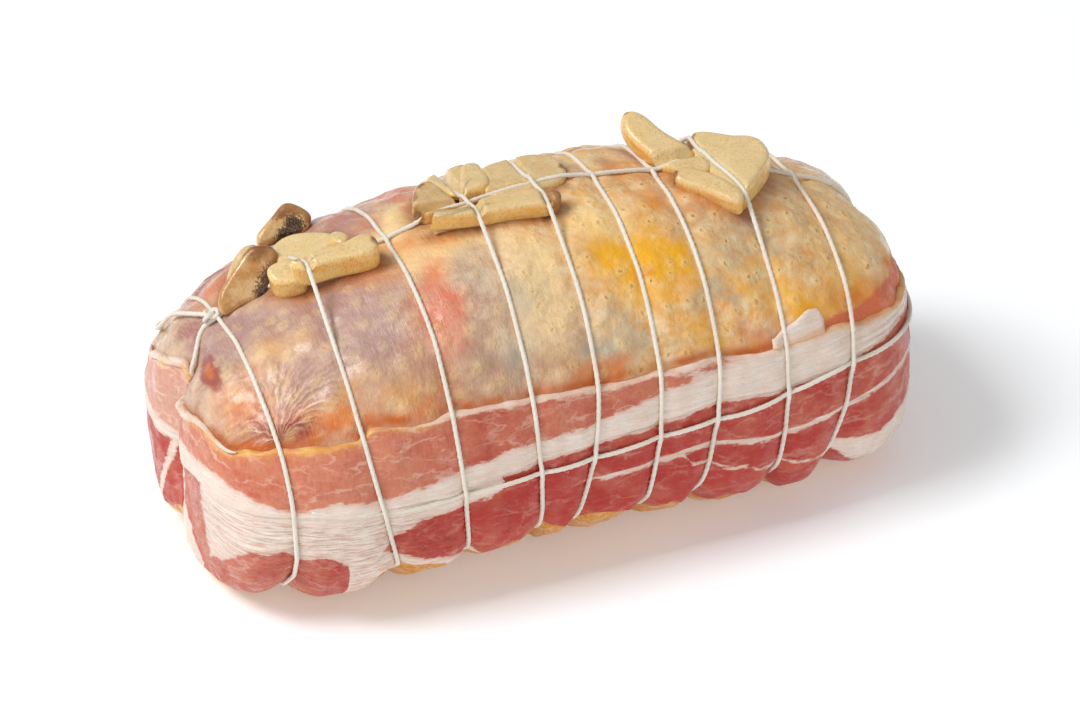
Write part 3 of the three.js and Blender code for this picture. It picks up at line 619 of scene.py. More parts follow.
def make_streaks():
    """Noise drawn out along the first axis, with its middle values spread to the full range."""
    tree, given, result = new_group("fibre_streaks", {"Along": 8.0, "Across": 0.5}, ["Streaks"])
    place = stretched(tree, given["Place"], given["Along"], given["Across"])
    feed(tree, result["Streaks"], ease(tree, grain(tree, place, 1.0, 3.0, 0.6), 0.3, 0.7))
    return tree


def make_veins():
    """Threads along the borders of stretched cells whose place is bent by noise; they swell and
    thin out as another noise tells them to."""
    tree, given, result = new_group("lacy_veins", {"Length": 9.0, "Height": 4.0, "Thread": 0.1}, ["Veins"])
    place = stretched(tree, given["Place"], given["Length"], given["Height"])
    bend = node(tree, "ShaderNodeTexNoise", {"Vector": place, "Scale": 2.2, "Detail": 4.0}, out="Color")
    bend = stretch(tree, bend, (1.5, 1.5, 1.5))
    bent = node(tree, "ShaderNodeVectorMath", {0: bend, 1: place}, operation="ADD")
    settings = {"feature": "DISTANCE_TO_EDGE", "voronoi_dimensions": "2D"}
    edge = node(tree, "ShaderNodeTexVoronoi", {"Vector": bent, "Scale": 1.0}, out="Distance", **settings)
    swell = ease(tree, grain(tree, place, 1.3, 3.0), 0.36, 0.68)
    width = times(tree, line(tree, swell, 1.0, 0.12), given["Thread"])
    thread = rest(tree, ease(tree, edge, 0.0, width))
    feed(tree, result["Veins"], times(tree, thread, line(tree, swell, 1.0, 0.2)))
    return tree


def make_blotches():
    """Soft patches of a size, from nothing to full."""
    tree, given, result = new_group("soft_blotches", {"Size": 5.0}, ["Blotches"])
    place = stretched(tree, given["Place"], given["Size"], given["Size"])
    feed(tree, result["Blotches"], ease(tree, grain(tree, place, 1.0, 4.0, 0.6), 0.32, 0.68))
    return tree


def make_gathers():
    """Folds round the origin of the place: they leave it at even angles and droop outwards."""
    tree, given, result = new_group("gathers", {"Count": 40.0, "Droop": 30.0}, ["Folds", "Reach"])
    parts = tree.nodes.new("ShaderNodeSeparateXYZ")
    feed(tree, parts.inputs[0], given["Place"])
    reach = node(tree, "ShaderNodeVectorMath", {0: given["Place"]}, out="Value", operation="LENGTH")
    lean = calc(tree, "ARCTAN2", parts.outputs[0], parts.outputs[1])
    droop = calc(tree, "ADD", calc(tree, "DIVIDE", reach, given["Droop"]), 1.0)
    wobble = line(tree, grain(tree, given["Place"], 0.35, 3.0), 11.0)
    turned = line(tree, calc(tree, "DIVIDE", lean, droop), given["Count"], wobble)
    feed(tree, result["Folds"], calc(tree, "SINE", turned))
    feed(tree, result["Reach"], reach)
    return tree


EFFECTS = {
    "film": make_wet_film(),
    "streaks": make_streaks(),
    "veins": make_veins(),
    "blotches": make_blotches(),
    "gathers": make_gathers(),
}


def effect(tree, name, place, out=0, **values):
    """Places a shared effect in a material with its own values and returns one of its masks."""
    made = tree.nodes.new("ShaderNodeGroup")
    made.node_tree = EFFECTS[name]
    feed(tree, made.inputs["Place"], place)
    for key, value in values.items():
        feed(tree, made.inputs[key], value)
    return made.outputs[out]


def wet_film(tree, place, patch, dry, wet):
    """Where a wet film lies, and how rough the surface is with it."""
    values = {"Patch": patch, "Dry": dry, "Wet": wet}
    return [effect(tree, "film", place, out=out, **values) for out in ("Film", "Roughness")]


print("shared effects:", sorted(EFFECTS))

# %% [markdown]
# ## The edges of the rashers
# Each edge is a few places, girth and height, joined by S-curves. They come before the skin,
# because the skin is stained orange just above the rashers, and raw meat shows there at the right.

# %% Edges of the rashers, fat and lean
FRONT_TOP = [
    (4, 52), (45, 53.2), (60, 54.6), (72, 57), (94, 56.4), (111, 58.2), (140, 58.3), (156, 59.4),
    (178, 60.2), (190, 58.8), (201, 59.4), (206, 57), (214, 55.9), (223, 54.8), (231, 53.2),
    (239, 50.8), (252, 52), (265, 50.2), (278, 48.8), (286, 50),
]
FRONT_SEAM = [
    (4, 45), (49, 49), (57, 47.7), (71, 45.4), (89, 44.6), (106, 45.8), (130, 43.6), (152, 42.3),
    (169, 40.4), (182, 38), (214, 37.5), (246, 36.5), (271, 33.1), (286, 33),
]
LOW_SEAM = [
    (4, 40), (50, 36.8), (68, 33.4), (89, 31.1), (113, 34.1), (130, 32.4), (157, 31.4), (176, 31),
]
FRONT_FOOT = [
    (4, 6), (80, 5), (108, 8), (120, 16), (126, 13), (134, 18), (142, 20), (148, 16), (156, 20), (164, 16),
    (172, 12), (180, 13), (190, 17), (200, 15), (208, 6), (230, 4), (286, 6),
]
BACK_TOP = [(290, 54), (298, 55.6), (307, 52), (323, 45.5), (345, 48), (420, 52), (500, 54), (558, 52)]
BACK_SEAM = [(290, 33), (330, 34), (420, 32), (558, 36)]
BACK_FOOT = [(290, 7), (340, 5), (420, 6), (558, 6)]
MIDDLE_END = 165.0  # girth place where the middle rasher runs out under the others
CORNER = 288  # girth place where the rashers of the front meet those of the back


def edge_at(edge, s):
    """Height of an edge at girth place s, an S-curve from each named place to the next."""
    places, heights = np.array(edge, float).T
    k = np.clip(np.searchsorted(places, s) - 1, 0, len(places) - 2)
    share = smooth((s - places[k]) / (places[k + 1] - places[k]))
    return heights[k] + (heights[k + 1] - heights[k]) * share


def rasher_top(s):
    """The upper edge of the rashers at any girth place."""
    return np.where(s < CORNER, edge_at(FRONT_TOP, s), edge_at(BACK_TOP, s))


def rasher_foot(s):
    """The lower edge of the rashers at any girth place."""
    return np.where(s < CORNER, edge_at(FRONT_FOOT, s), edge_at(BACK_FOOT, s))


print("rashers reach", rasher_top(np.array([50.0, 140.0, 230.0, 420.0])).round(1))

# %% [markdown]
# ## The skin
# Guinea fowl skin is thin and shows what lies beneath: mauve meat at the left, yellow fat at the
# right, pink where it is bruised. A painted picture could hold that, but here each tint is a few
# soft patches placed on the unrolled skin, station along and arc across, with ragged edges
# from noise. The hidden far side gets the same patches mirrored.

# %% Patches of tint on the skin: station, arc from the crest, radius, strength
TINTS = {
    "yellow": [
        (17, -30, 6, 1), (24, -26, 6, 0.9), (26, -32, 6, 0.8), (11, -30, 4, 0.5), (17, -37, 5, 0.6),
        (9, -25, 3, 0.4), (32, -30, 4, 0.5), (35, -55, 4, 0.6), (30, -49, 4, 0.4), (21, -42, 4, 0.4),
        (58, -44, 5, 0.8), (62, -49, 4, 0.7), (45, -39, 4, 0.4), (54, -34, 4, 0.3), (27, -14, 4, 0.3),
        (79, -37, 6, 0.6), (69, -43, 5, 0.5), (-55, -44, 5, 0.3), (-79, -13, 4, 0.4), (-71, -18, 5, 0.3),
        (-70, -39, 5, 0.3), (-63, -35, 4, 0.3), (9, -18, 4, 0.3),
    ],
    "peach": [
        (-34, 8, 9, 1), (-29, 1, 9, 1), (-41, 0, 7, 0.8), (-33, -10, 7, 0.7), (-24, -7, 6, 0.5),
        (-10, -35, 8, 0.4), (-9, -23, 7, 0.6), (8, -14, 6, 0.5), (15, -16, 6, 0.5), (-12, -43, 5, 0.3),
        (-13, -12, 5, 0.5), (83, 1, 11, 0.4), (94, -13, 8, 0.5), (7, -51, 6, 0.3), (81, -24, 8, 0.4),
    ],
    "orange": [
        (-37, -3, 4, 0.8), (-28, -7, 4, 0.6), (-35, -14, 3, 0.5), (-48, -8, 5, 0.6), (18, -35, 2, 0.6),
        (0, -60, 4, 0.8), (-5, -61, 4, 0.7), (6, -59, 4, 0.6), (-15, -60, 4, 0.5), (45, -56, 4, 0.7),
        (54, -53, 3, 0.9), (63, -50, 3, 0.8), (72, -43, 4, 0.5), (86, -35, 4, 0.9), (94, -23, 3, 1),
        (81, -40, 4, 0.9), (30, -1, 4, 0.5), (26, 5, 3, 0.4), (30, -11, 5, 0.6), (42, -12, 5, 0.4),
        (84, 17, 6, 0.4), (-90, -16, 4, 0.4), (-89, -22, 5, 0.4), (-71, -43, 5, 0.8), (-67, -44, 4, 0.7),
        (-78, -40, 4, 0.6), (-53, -49, 5, 0.5), (-45, -50, 5, 0.4),
    ],
    "pink": [
        (-38, -22, 4, 0.9), (-34, -17, 4, 0.6), (-37, -31, 6, 0.8), (-37, -37, 5, 0.7), (-36, -13, 3, 0.5),
        (-32, -29, 4, 0.5), (-34, -25, 4, 0.5), (18, 27, 3, 0.9), (20, 23, 3, 0.7), (-91, -26, 5, 0.5),
        (-87, -32, 5, 0.6), (-82, -38, 4, 0.5), (-47, 24, 6, 0.7), (-43, 13, 4, 0.6), (29, -35, 2, 0.9),
        (-62, 7, 5, 0.3), (-87, -25, 5, 0.4),
    ],
    "mauve": [
        (-62, -17, 8, 0.8), (-54, -16, 7, 0.9), (-69, -12, 7, 0.7), (-79, -2, 7, 0.8), (-85, 1, 6, 0.8),
        (-76, -9, 6, 0.6), (-91, 3, 6, 0.8), (-92, 12, 4, 1), (-46, 27, 6, 0.9), (-44, 15, 4, 0.7),
        (-62, -27, 6, 0.6), (-53, -30, 6, 0.5), (-48, -27, 5, 0.5), (-75, -31, 6, 0.6), (-68, -35, 5, 0.6),
        (-77, -25, 6, 0.5), (-80, 18, 7, 1), (-74, 19, 5, 1), (48, -53, 3, 0.9), (35, 21, 4, 0.9),
        (36, 13, 3, 0.7), (-62, -41, 5, 0.4), (-58, -36, 5, 0.4), (-97, -5, 4, 0.4),
    ],
    "grey": [
        (1, -49, 3, 0.9), (2, -54, 3, 0.6), (-17, -45, 4, 0.6), (-20, -49, 4, 0.5), (-15, -34, 4, 0.5),
        (-17, -29, 3, 0.4), (9, -45, 4, 0.5), (10, -52, 5, 0.5), (35, -37, 3, 0.7), (37, -40, 3, 0.6),
        (31, -43, 3, 0.5), (47, -29, 6, 0.5), (57, -19, 5, 0.5), (58, -28, 4, 0.4), (38, -31, 4, 0.4),
        (33, -7, 3, 0.5), (40, -18, 4, 0.4), (-37, -24, 2, 0.7), (-26, -13, 4, 0.4), (-26, -24, 4, 0.4),
        (51, -20, 5, 0.3), (32, -22, 4, 0.3), (12, -55, 4, 0.4), (-30, -45, 5, 0.3), (20, 10, 5, 0.3),
    ],
    "brown": [
        (-45, -47, 6, 0.6), (-37, -49, 6, 0.5), (-26, -53, 6, 0.5), (-31, -46, 5, 0.4), (-10, -55, 6, 0.5),
        (-2, -57, 5, 0.5), (-51, -40, 5, 0.4), (-66, -43, 6, 0.5), (-52, -35, 5, 0.3), (-66, -6, 4, 0.4),
        (-80, -29, 4, 0.3), (23, 18, 5, 0.5), (25, 8, 4, 0.4), (66, 10, 6, 0.3), (78, -16, 7, 0.3),
        (3, -58, 3, 0.6), (-77, -37, 5, 0.3),
    ],
    "red": [
        (-94, 16, 2, 0.8), (-92, 12, 2, 0.6), (19, 23, 3, 0.8),
        (-83, -39, 3, 1), (-86, -36, 3, 0.9), (-90, -33, 4, 0.7), (-79, -41, 3, 0.8), (-74, -44, 3, 0.4),
        (17, 21, 1, 0.8), (2, -59, 2, 0.5),
    ],
}
MIRROR_FROM = -12  # patches in front of this arc are repeated on the far side
MIRROR_SHIFT = 7
PATCH_RAGGED = 3.0
PATCH_SOFT = 1.15  # the bell of a patch is this much wider than its radius


def tint_mask(place, patches):
    """The sum of a bell for each patch, at its station and arc, over its radius."""
    rows = list(patches) + [
        (x + MIRROR_SHIFT, -arc, size, strength) for x, arc, size, strength in patches if arc < MIRROR_FROM
    ]
    total = np.zeros(place.shape[:-1])
    for x, arc, size, strength in rows:
        gap = np.hypot(place[..., 0] - x, place[..., 1] - arc)
        total += strength * bell(gap / (PATCH_SOFT * size))
    return np.clip(total, 0, 1)


print("tints:", {key: len(rows) for key, rows in TINTS.items()})

# %% [markdown]
# The roll's skin is one sheet, with stations placed evenly along the profile so that the blunt ends
# are as finely divided as the middle, and with most of its angles on top, where it shows. A ball
# could be pressed into shape instead, but its rings would crowd at the poles.

# %% Lay out the roll
STATIONS = 330
TOP_ANGLES, LOW_ANGLES = 238, 46
WRINKLE = 0.26
UNDER_RASHER = 1.5  # how deep the rashers press the skin
PINCH = (-84.0, -38.5)  # station and arc of the place where the first turn gathers the skin
GATHER_REACH, GATHER_DROOP, GATHER_COUNT = 25, 14, 30


def even_stations(count):
    """Stations at equal steps of the profile's own length, read off the superellipse."""
    turn = np.linspace(-QUARTER, QUARTER, 4001)
    x = HALF_LENGTH * signed_power(np.sin(turn), 2 / SIDE_POWER)
    rise = (HEIGHT - WAIST) * np.abs(np.cos(turn)) ** (2 / SIDE_POWER)
    steps = np.hypot(np.hypot(np.diff(x), np.diff(rise)), 0.8 * np.diff(half_width(x)))
    length = np.concatenate([[0], np.cumsum(steps)])
    return np.interp(np.linspace(0.004, 0.996, count) * length[-1], length, x)


def arc_from_crest(points):
    """Length along each section from the crest, below zero towards the front."""
    steps = np.linalg.norm(np.diff(points, axis=1), axis=-1)
    along = np.concatenate([np.zeros((len(points), 1)), np.cumsum(steps, axis=1)], axis=1)
    return along[:, [TOP_ANGLES // 2]] - along


top = np.linspace(-0.04, math.pi + 0.04, TOP_ANGLES)
low = np.linspace(math.pi + 0.04, 2 * math.pi - 0.04, LOW_ANGLES + 2)[1:-1]
angle = np.concatenate([top, low])[None, :]
station = even_stations(STATIONS)[:, None]
height = section_point(station, angle)[..., 2]
leant = np.clip(station + wander(station, height), -HALF_LENGTH, HALF_LENGTH)
loaf = section_point(leant, angle)
arc = arc_from_crest(section_point(station, angle))
skin_place = flat_place(station, arc)
print("roll sheet", loaf.shape)

# %% [markdown]
# Onto the even loaf go broad lumps, smaller ones, and the gathered skin at the left end: fine folds
# that fan out from where the first string pulls the skin together. Under the rashers the skin lies
# a little deeper, so that they don't run through it. A sculpted relief would say the same, but a
# formula keeps it the same on every run.

# %% Relief of the skin
def gather_share(place):
    """How gathered the skin is: 1 near the pinch, fading with distance and below it."""
    across, up = place[..., 0] - PINCH[0], place[..., 1] - PINCH[1]
    reach = np.hypot(across, up) + 3 * noise(place, 8, 62)
    return smooth((GATHER_REACH - reach) / 14) * smooth((up + 3) / 4)


def gathers(place):
    """Folds that leave the pinch at even angles and droop outwards as they go."""
    across, up = place[..., 0] - PINCH[0], place[..., 1] - PINCH[1]
    reach = np.hypot(across, up)
    start = np.arctan2(across, up + 1) / (1 + reach / GATHER_DROOP)
    folds = np.sin(GATHER_COUNT * start + 2.5 * noise(place, 6, 68))
    return gather_share(place) * folds * smooth(reach / 5)


def skin_relief(place, points):
    """Broad lumps, smaller lumps and folds, fading out where rashers cover the skin."""
    s, z = girth_place(points), points[..., 2]
    covered = smooth((rasher_top(s) - z) / 3) * smooth((z - rasher_foot(s)) / 3)
    lumps = 0.75 * rough(points, 13, 20) + 0.28 * rough(points, 4.5, 24)
    return (1 - covered) * (lumps + WRINKLE * gathers(place)) - covered * UNDER_RASHER


relief = skin_relief(skin_place, loaf)
skin = skin_point(loaf, relief)
skin[..., 2] = np.maximum(skin[..., 2], 0)  # nothing sinks into the table
print("relief from", relief.min().round(2), "to", relief.max().round(2))

# %% [markdown]
# ## The rashers
# A rasher is a strip of lean and fat about two millimetres thick, pressed round the flank. Its outer
# face runs between two ragged edges and rounds off into them. What the eye reads is the border
# between fat and lean, so that border is stored as a distance in millimetres, above zero in the
# lean, and the material cuts it sharply wherever a little noise lets it cross zero.

# %% Borders of the lean on each rasher
NO_LEAN = -3.0  # a border this far below zero is fat all through
NOT_HERE = 9.0  # a seam this far off has no effect
LEAN_EDGE = [
    (118, 58), (124, 52.2), (135, 50.5), (146, 48.4), (163, 47.6), (174, 45.9), (184, 44.2), (191, 42.6),
    (203, 41), (213, 42.3), (223, 39.9), (235, 42.6), (242, 44.2), (258, 42.4), (271, 41.8), (286, 52),
]
FIBRE_EDGE = [
    (163, 37), (175, 34.5), (190, 33.2), (197, 30), (202, 25), (204, 4), (209, 4), (211, 23), (216, 26),
    (222, 25), (226, 27), (231, 26.3), (243, 17.8), (250, 12), (256, 4),
]
FOOT_RIM = [(160, 4), (170, 12), (178, 17.5), (188, 20), (197, 22.5), (203, 26), (205, 4), (256, 4)]
STRIP_LEFT = [(6, 249), (12, 254), (16, 261), (22, 271), (31.5, 272), (40, 268)]  # height, girth place
STRIP_RIGHT = [(6, 246), (17, 247), (22, 249), (30, 251), (37, 251), (40, 252)]
LOW_SEAM_2 = [(66, 18), (74, 19.6), (92, 21.6), (102, 25), (114, 29.5), (118, 33)]
CORNER_TOP = [(4, 33), (30, 29.5), (47, 23.9), (58, 20.7), (73, 21.7), (76, 19)]
CORNER_LOW = [(4, 26), (30, 19), (46, 13), (61, 8.5), (73, 17), (76, 19)]
ISLANDS = [(133, 54.4, 8.5, 2.5), (120, 54.9, 5.5, 1.5), (108, 56, 4, 0.7)]  # place, height, half sizes


def within(value, low, high):
    """Distance inside a span, below zero outside it."""
    return np.minimum(value - low, high - value)


def seam_end(s):
    """How much further the lean reaches where the pale seam dies out."""
    return 2 * smooth((s - 138) / 14)


def lean_front_upper(s, z):
    """Lean above its lower edge up to a thin rim of fat, and a few islands of it in the white fat."""
    rim = np.interp(s, [100, 190, 215, 286], [1.5, 1.3, 0.5, 0.8])
    lean = within(z, edge_at(LEAN_EDGE, s), rasher_top(s) - rim)
    lean = np.where(s < LEAN_EDGE[0][0], NO_LEAN, lean)
    for place, level, long, tall in ISLANDS:
        lean = np.maximum(lean, tall * (1 - np.hypot((s - place) / long, (z - level) / tall)))
    return lean


def lean_front_middle(s, z):
    """All lean, with a pale line along its upper edge."""
    return within(z, edge_at(LOW_SEAM, s) + 0.1 - seam_end(s), edge_at(FRONT_SEAM, s) - 0.3)


def lean_front_lower(s, z):
    """Deep red, with a fibrous sheet of fat at the left, a white corner at the right and thin seams."""
    lean = within(z, -20, edge_at(LOW_SEAM, s) - 0.7 + seam_end(s))
    seam = np.where(s < 120, np.abs(z - edge_at(LOW_SEAM_2, s)) - 0.35, NOT_HERE)
    corner = -within(z, edge_at(CORNER_LOW, s), edge_at(CORNER_TOP, s))
    corner = np.where(s < CORNER_LOW[-1][0], corner, NOT_HERE)
    strip = within(s, edge_at(STRIP_RIGHT, z), edge_at(STRIP_LEFT, z))
    fibrous = np.maximum(within(z, edge_at(FOOT_RIM, s), edge_at(FIBRE_EDGE, s)), strip)
    return np.where(s > 163, fibrous, np.minimum(np.minimum(lean, seam), corner))


def lean_back_upper(s, z):
    """A band of lean over a band of fat; their border wavers, and lies low near the left corner."""
    border = 42 + 2.2 * np.sin(s / 17) + 1.2 * np.sin(s / 7)
    at_corner = 35 + (s - 290) * 0.08
    border = border + (at_corner - border) * smooth((360 - s) / 45)
    return within(z, border, rasher_top(s) - 1.3)


def lean_back_lower(s, z):
    """Deep red with a white crease near the left corner and a sheet of fat towards the right."""
    crease = np.abs(s - 302 + 0.5 * (z - 20)) - 1.6
    sheet = z - (31 - 9 * bell((s - 500) / 40) - 6 * bell((s - 380) / 30))
    return np.minimum(crease, -sheet)


RASHERS = {
    "bard_front_upper": dict(
        span=(4, 287), top=FRONT_TOP, low=FRONT_SEAM, lift=1.0, lean=lean_front_upper,
        tone=([100, 135, 160, 172, 184, 200, 240, 286], [0.4, 0.25, 0.35, 0.6, 0.25, 0.1, 0.1, 0.2])),
    "bard_front_middle": dict(
        span=(4, MIDDLE_END + 4), top=FRONT_SEAM, low=LOW_SEAM, lift=0.65, lean=lean_front_middle,
        tone=([20, 60, 165], [0.5, 0.75, 0.95])),
    "bard_front_lower": dict(
        span=(4, 287), top=LOW_SEAM, low=FRONT_FOOT, lift=0.35, lean=lean_front_lower,
        tone=([20, 60, 100, 214, 226, 286], [0.55, 0.8, 1, 0.9, 0.5, 0.5])),
    "bard_back_upper": dict(
        span=(289, 558), top=BACK_TOP, low=BACK_SEAM, lift=0.95, lean=lean_back_upper,
        tone=([290, 320, 350, 558], [-0.7, -0.3, 0.3, 0.5])),
    "bard_back_lower": dict(
        span=(289, 558), top=BACK_SEAM, low=BACK_FOOT, lift=0.4, lean=lean_back_lower,
        tone=([290, 340, 558], [0.8, 0.9, 0.8])),
}
print("rashers:", list(RASHERS))

# %% [markdown]
# Each rasher lies on the flank, lifted by its own small amount so that the upper ones lap over the
# lower ones. A cloth run could drape them, but it wouldn't keep to the edges that are known.

# %% Surface of a rasher
RASHER_THICK = 2.0
GIRTH_STEP = 0.62
HEIGHT_STEP = 0.55
EDGE_ROUND = 1.3
TUCK = 1.6  # how far a rasher reaches under the one above it


def rasher_sheet(name, rule):
    """Rows round the girth; each row goes up the outer face and back down the inner face."""
    first, last = rule["span"]
    s = np.linspace(first, last, int((last - first) / GIRTH_STEP))[:, None]
    top = edge_at(rule["top"], s)
    if name == "bard_front_lower":  # past the middle rasher it reaches up to the next
        top = np.where(s > MIDDLE_END + 2, edge_at(FRONT_SEAM, s), top)
    if "upper" not in name:
        top = top + TUCK
    low = edge_at(rule["low"], s)
    ragged = smooth(within(s, first, last) / 8)
    top = top + ragged * 0.45 * rough(flat_place(s, 3.0), 7, 80)
    low = low + ragged * 0.35 * rough(flat_place(s, 9.0), 6, 84)
    count = int(np.max(top - low) / HEIGHT_STEP)
    even = np.linspace(0, 1, count)[None, :]
    share = 0.6 * even + 0.4 * (0.5 - 0.5 * np.cos(math.pi * even))
    z = low + (top - low) * share
    inside = np.minimum(np.minimum(z - low, top - z), within(s, first, last) + 0.25)
    round_off = np.sqrt(np.clip(1 - np.square(1 - np.minimum(inside / EDGE_ROUND, 1)), 0, 1))
    lean = rule["lean"](np.broadcast_to(s, z.shape), z)
    place = flat_place(s, z)
    threads = noise(flat_place(s / 14, z / 0.9), 1.0, 88) * np.where(lean < 0, 0.22, 0.06)
    lumps = 0.35 * rough(place, 9, 90) + threads - 0.12 * smooth(lean / 1.2)
    base = np.full(z.shape, rule["lift"] - RASHER_THICK)
    outer = skin_point(flank_point(s, z), base + round_off * (RASHER_THICK + lumps) + 0.02)
    inner = skin_point(flank_point(s, z), base - 0.1)
    points = np.concatenate([outer, inner[:, ::-1]], axis=1)
    place = np.concatenate([place, place[:, ::-1]], axis=1)
    lean = np.concatenate([lean, lean[:, ::-1]], axis=1)
    return points, place, lean


def band_faces(rows, cols):
    """Wrapped rows, with each end shut by quads from the outer face to the inner."""
    half = np.arange(cols // 2 - 1)
    across = np.stack([half, half + 1, cols - 2 - half, cols - 1 - half], axis=-1)
    return np.concatenate([
        sheet_faces(rows, cols), across[:, ::-1], across + (rows - 1) * cols,
    ])


rasher_sheets = {name: rasher_sheet(name, rule) for name, rule in RASHERS.items()}
print({name: sheet[0].shape[:2] for name, sheet in rasher_sheets.items()})

# %% [markdown]
# ## The mushroom pieces
# Each piece is a thick slice: a soft closed outline, cut straight down, with its knife edges a little
# rounded. A subdivided box could be pushed into shape, but an outline carried down the slice keeps
# the crisp cut that sliced mushroom has. Marks say where a piece keeps brown skin or dark gills.

# %% Table of the slices: middle of the upper face, lean of its normal, thickness, outline, marks
MUSHROOMS = {
    "left_block": dict(
        at=[-57.4, -5.9, 89.4], tilt=[-0.18, -0.25], thick=8.5, tone=0.15,
        outline=[[-12, 2], [-7, 2.6], [2, 2.4], [10, 3], [12, 0], [10.5, -3.5], [0, -2.4], [-10, -1]],
        marks=[("cap", 12.6, 0, 2.2), ("cap", 11, 3, 1.5)]),
    "left_cap_front": dict(
        at=[-76.1, 8.3, 77.1], tilt=[-0.5, -1.1], thick=8, tone=0.95,
        outline=[[-9, -3], [-3, 3.5], [3, 8], [9, 5.5], [5.5, -1.5], [4, -5], [-3, -6], [-9, -7.8]],
        marks=[("cap", 4, 8, 4.5), ("cap", 8, 6, 4), ("gill", 6, -1.5, 3.2), ("gill", 4, -5, 3)]),
    "left_chunk": dict(
        at=[-68.6, -0.6, 83.4], tilt=[-0.25, -0.35], thick=8.5, tone=0.15,
        outline=[[-4.6, 2.6], [-1, 4], [3, 3], [4.6, -1], [3, -4], [-4, -2.4]], marks=[]),
    "left_slice_flat": dict(
        at=[-59.5, 11.5, 82.0], tilt=[-0.2, 0.05], thick=5, tone=0.0,
        outline=[[-7.5, 5], [-2, 7], [5.5, 3], [9, -3], [3, -6.8], [-7, -5.5], [-9, -1]], marks=[]),
    "left_cap_back": dict(
        at=[-60.5, 25.6, 80.4], tilt=[-0.25, -0.9], thick=7, tone=0.6,
        outline=[[-7.5, -2], [-2, 2.2], [2.5, 5], [8, 0], [5, -4], [-2, -4], [-7, -4.4]],
        marks=[("cap", 0, 4, 3.5), ("cap", 5, 3.6, 3.5), ("cap", 8, 0, 2.6), ("gill", 3, -1.5, 2.6),
               ("gill", 0, -3.6, 2.4)]),
    "left_slice_thin": dict(
        at=[-74.6, 18.5, 75.1], tilt=[-0.5, -0.3], thick=3, tone=0.25,
        outline=[[-6, -4], [-2, 2.5], [3, 5.2], [6, 3.5], [1, 0], [-4.5, -4.8]], marks=[]),
    "left_slice_small": dict(
        at=[-52.0, 6.0, 86.0], tilt=[-0.2, 0.1], thick=4, tone=0.1,
        outline=[[-1.5, 3], [1, 3], [2.6, -1.5], [0, -3.6], [-2.5, -1]], marks=[]),
    "mid_slice_front": dict(
        at=[-15.0, -9.0, 95.4], tilt=[-0.05, -0.35], thick=7, tone=0.2,
        outline=[[-17, 1.5], [-8, 2.5], [1, 3.6], [11, 2.8], [18, 1.4], [19, -3.2], [6, -2.4], [-9, -0.5]],
        marks=[("cap", 20, -1, 5.5)]),
    "mid_cap_left": dict(
        at=[-26.0, 5.2, 92.4], tilt=[0.03, -0.07], thick=5, tone=0.5,
        outline=[[-4.1, 3.2], [-1.8, 6.2], [1.7, 7.4], [3.3, 5], [4.7, 0.8], [5.6, -4.1], [-1.9, -6.3],
                 [-5.1, -5.2], [-5.8, -1.3]],
        marks=[("cap", -6, 2, 2.6), ("cap", -2, 7, 2.6), ("cap", 2, 8, 1.8), ("cap", -6, -4, 2.4)]),
    "mid_slice_back": dict(
        at=[-0.4, 7.6, 92.7], tilt=[0, 0.04], thick=4, tone=0.25,
        outline=[[-9.3, 5.7], [-1.2, 7.9], [6.8, 7.4], [11.2, 4.4], [12.3, -1.8], [9.5, -7.4], [1.8, -9.8],
                 [-11.4, -7.5], [-10.8, -1], [-8.8, 2.1]],
        marks=[("cap", 13, -2, 2.4), ("cap", 12, 5.4, 2)]),
    "mid_slice_upright": dict(
        at=[-12.6, 9.3, 93.0], tilt=[-0.04, 0.1], thick=5, tone=0.1,
        outline=[[-0.2, 8], [3.7, 7.7], [3.8, 3.1], [3.6, -1.8], [1.9, -5.3], [-2.5, -6], [-6.5, -6.2],
                 [-3.9, 0.5]], marks=[]),
    "mid_slice_pale": dict(
        at=[-18.0, 12.6, 91.4], tilt=[-0.03, 0.12], thick=3, tone=0.15,
        outline=[[-5.7, 3.9], [1, 6.8], [6.7, 7], [4.4, -0.4], [0.5, -7.5], [-2.4, -7.8], [-4.6, -2]],
        marks=[]),
    "right_stem": dict(
        at=[39.6, 5.8, 93.0], tilt=[-0.06, -0.42], thick=6, tone=0.1,
        outline=[[-8.1, 8.3], [-7.4, 11.7], [-6, 13], [-3.6, 12.6], [-1, 9.9], [1.3, 4.8], [5.5, -1.1],
                 [10.1, -9.1], [9.5, -11.8], [5.7, -11.8], [-1, -8.5], [-5, -1.4], [-7.6, 4.4]],
        marks=[("cap", -6.5, 13.6, 1.6)]),
    "right_slice_front": dict(
        at=[44.3, -12.2, 90.4], tilt=[-0.23, -0.38], thick=7, tone=0.25,
        outline=[[-6.3, 7.5], [-2.6, 7], [2.2, 3], [6, -2], [8, -7], [5.5, -9.5], [1.8, -6], [-1.8, -1.8],
                 [-5.5, 1.6], [-7.4, 4.5]],
        marks=[("cap", -8, 6, 2)]),
    "right_cap_back": dict(
        at=[55.8, -1.2, 89.8], tilt=[-0.05, -0.09], thick=8, tone=0.05,
        outline=[[-9, 5.1], [-7.9, 11.1], [-5.5, 13.4], [-1, 11.9], [2.9, 8.9], [9.5, 5.6], [10.9, 0.3],
                 [9.9, -3.9], [6, -8.2], [1.7, -12.3], [-4.2, -16.2], [-5.8, -11.9], [-7.4, -3.9]],
        marks=[("cap", -8, 12, 3), ("cap", -9.6, 8, 2.4)]),
}
print(len(MUSHROOMS), "slices of mushroom")

# %% [markdown]
# A knife leaves flat faces and soft corners. Each outline is a smooth curve through its corners, and
# the slice is that curve carried from the middle of its face over the rounded edge, down the cut
# side and in again below. A little noise lifts the faces and moves the sides in and out.

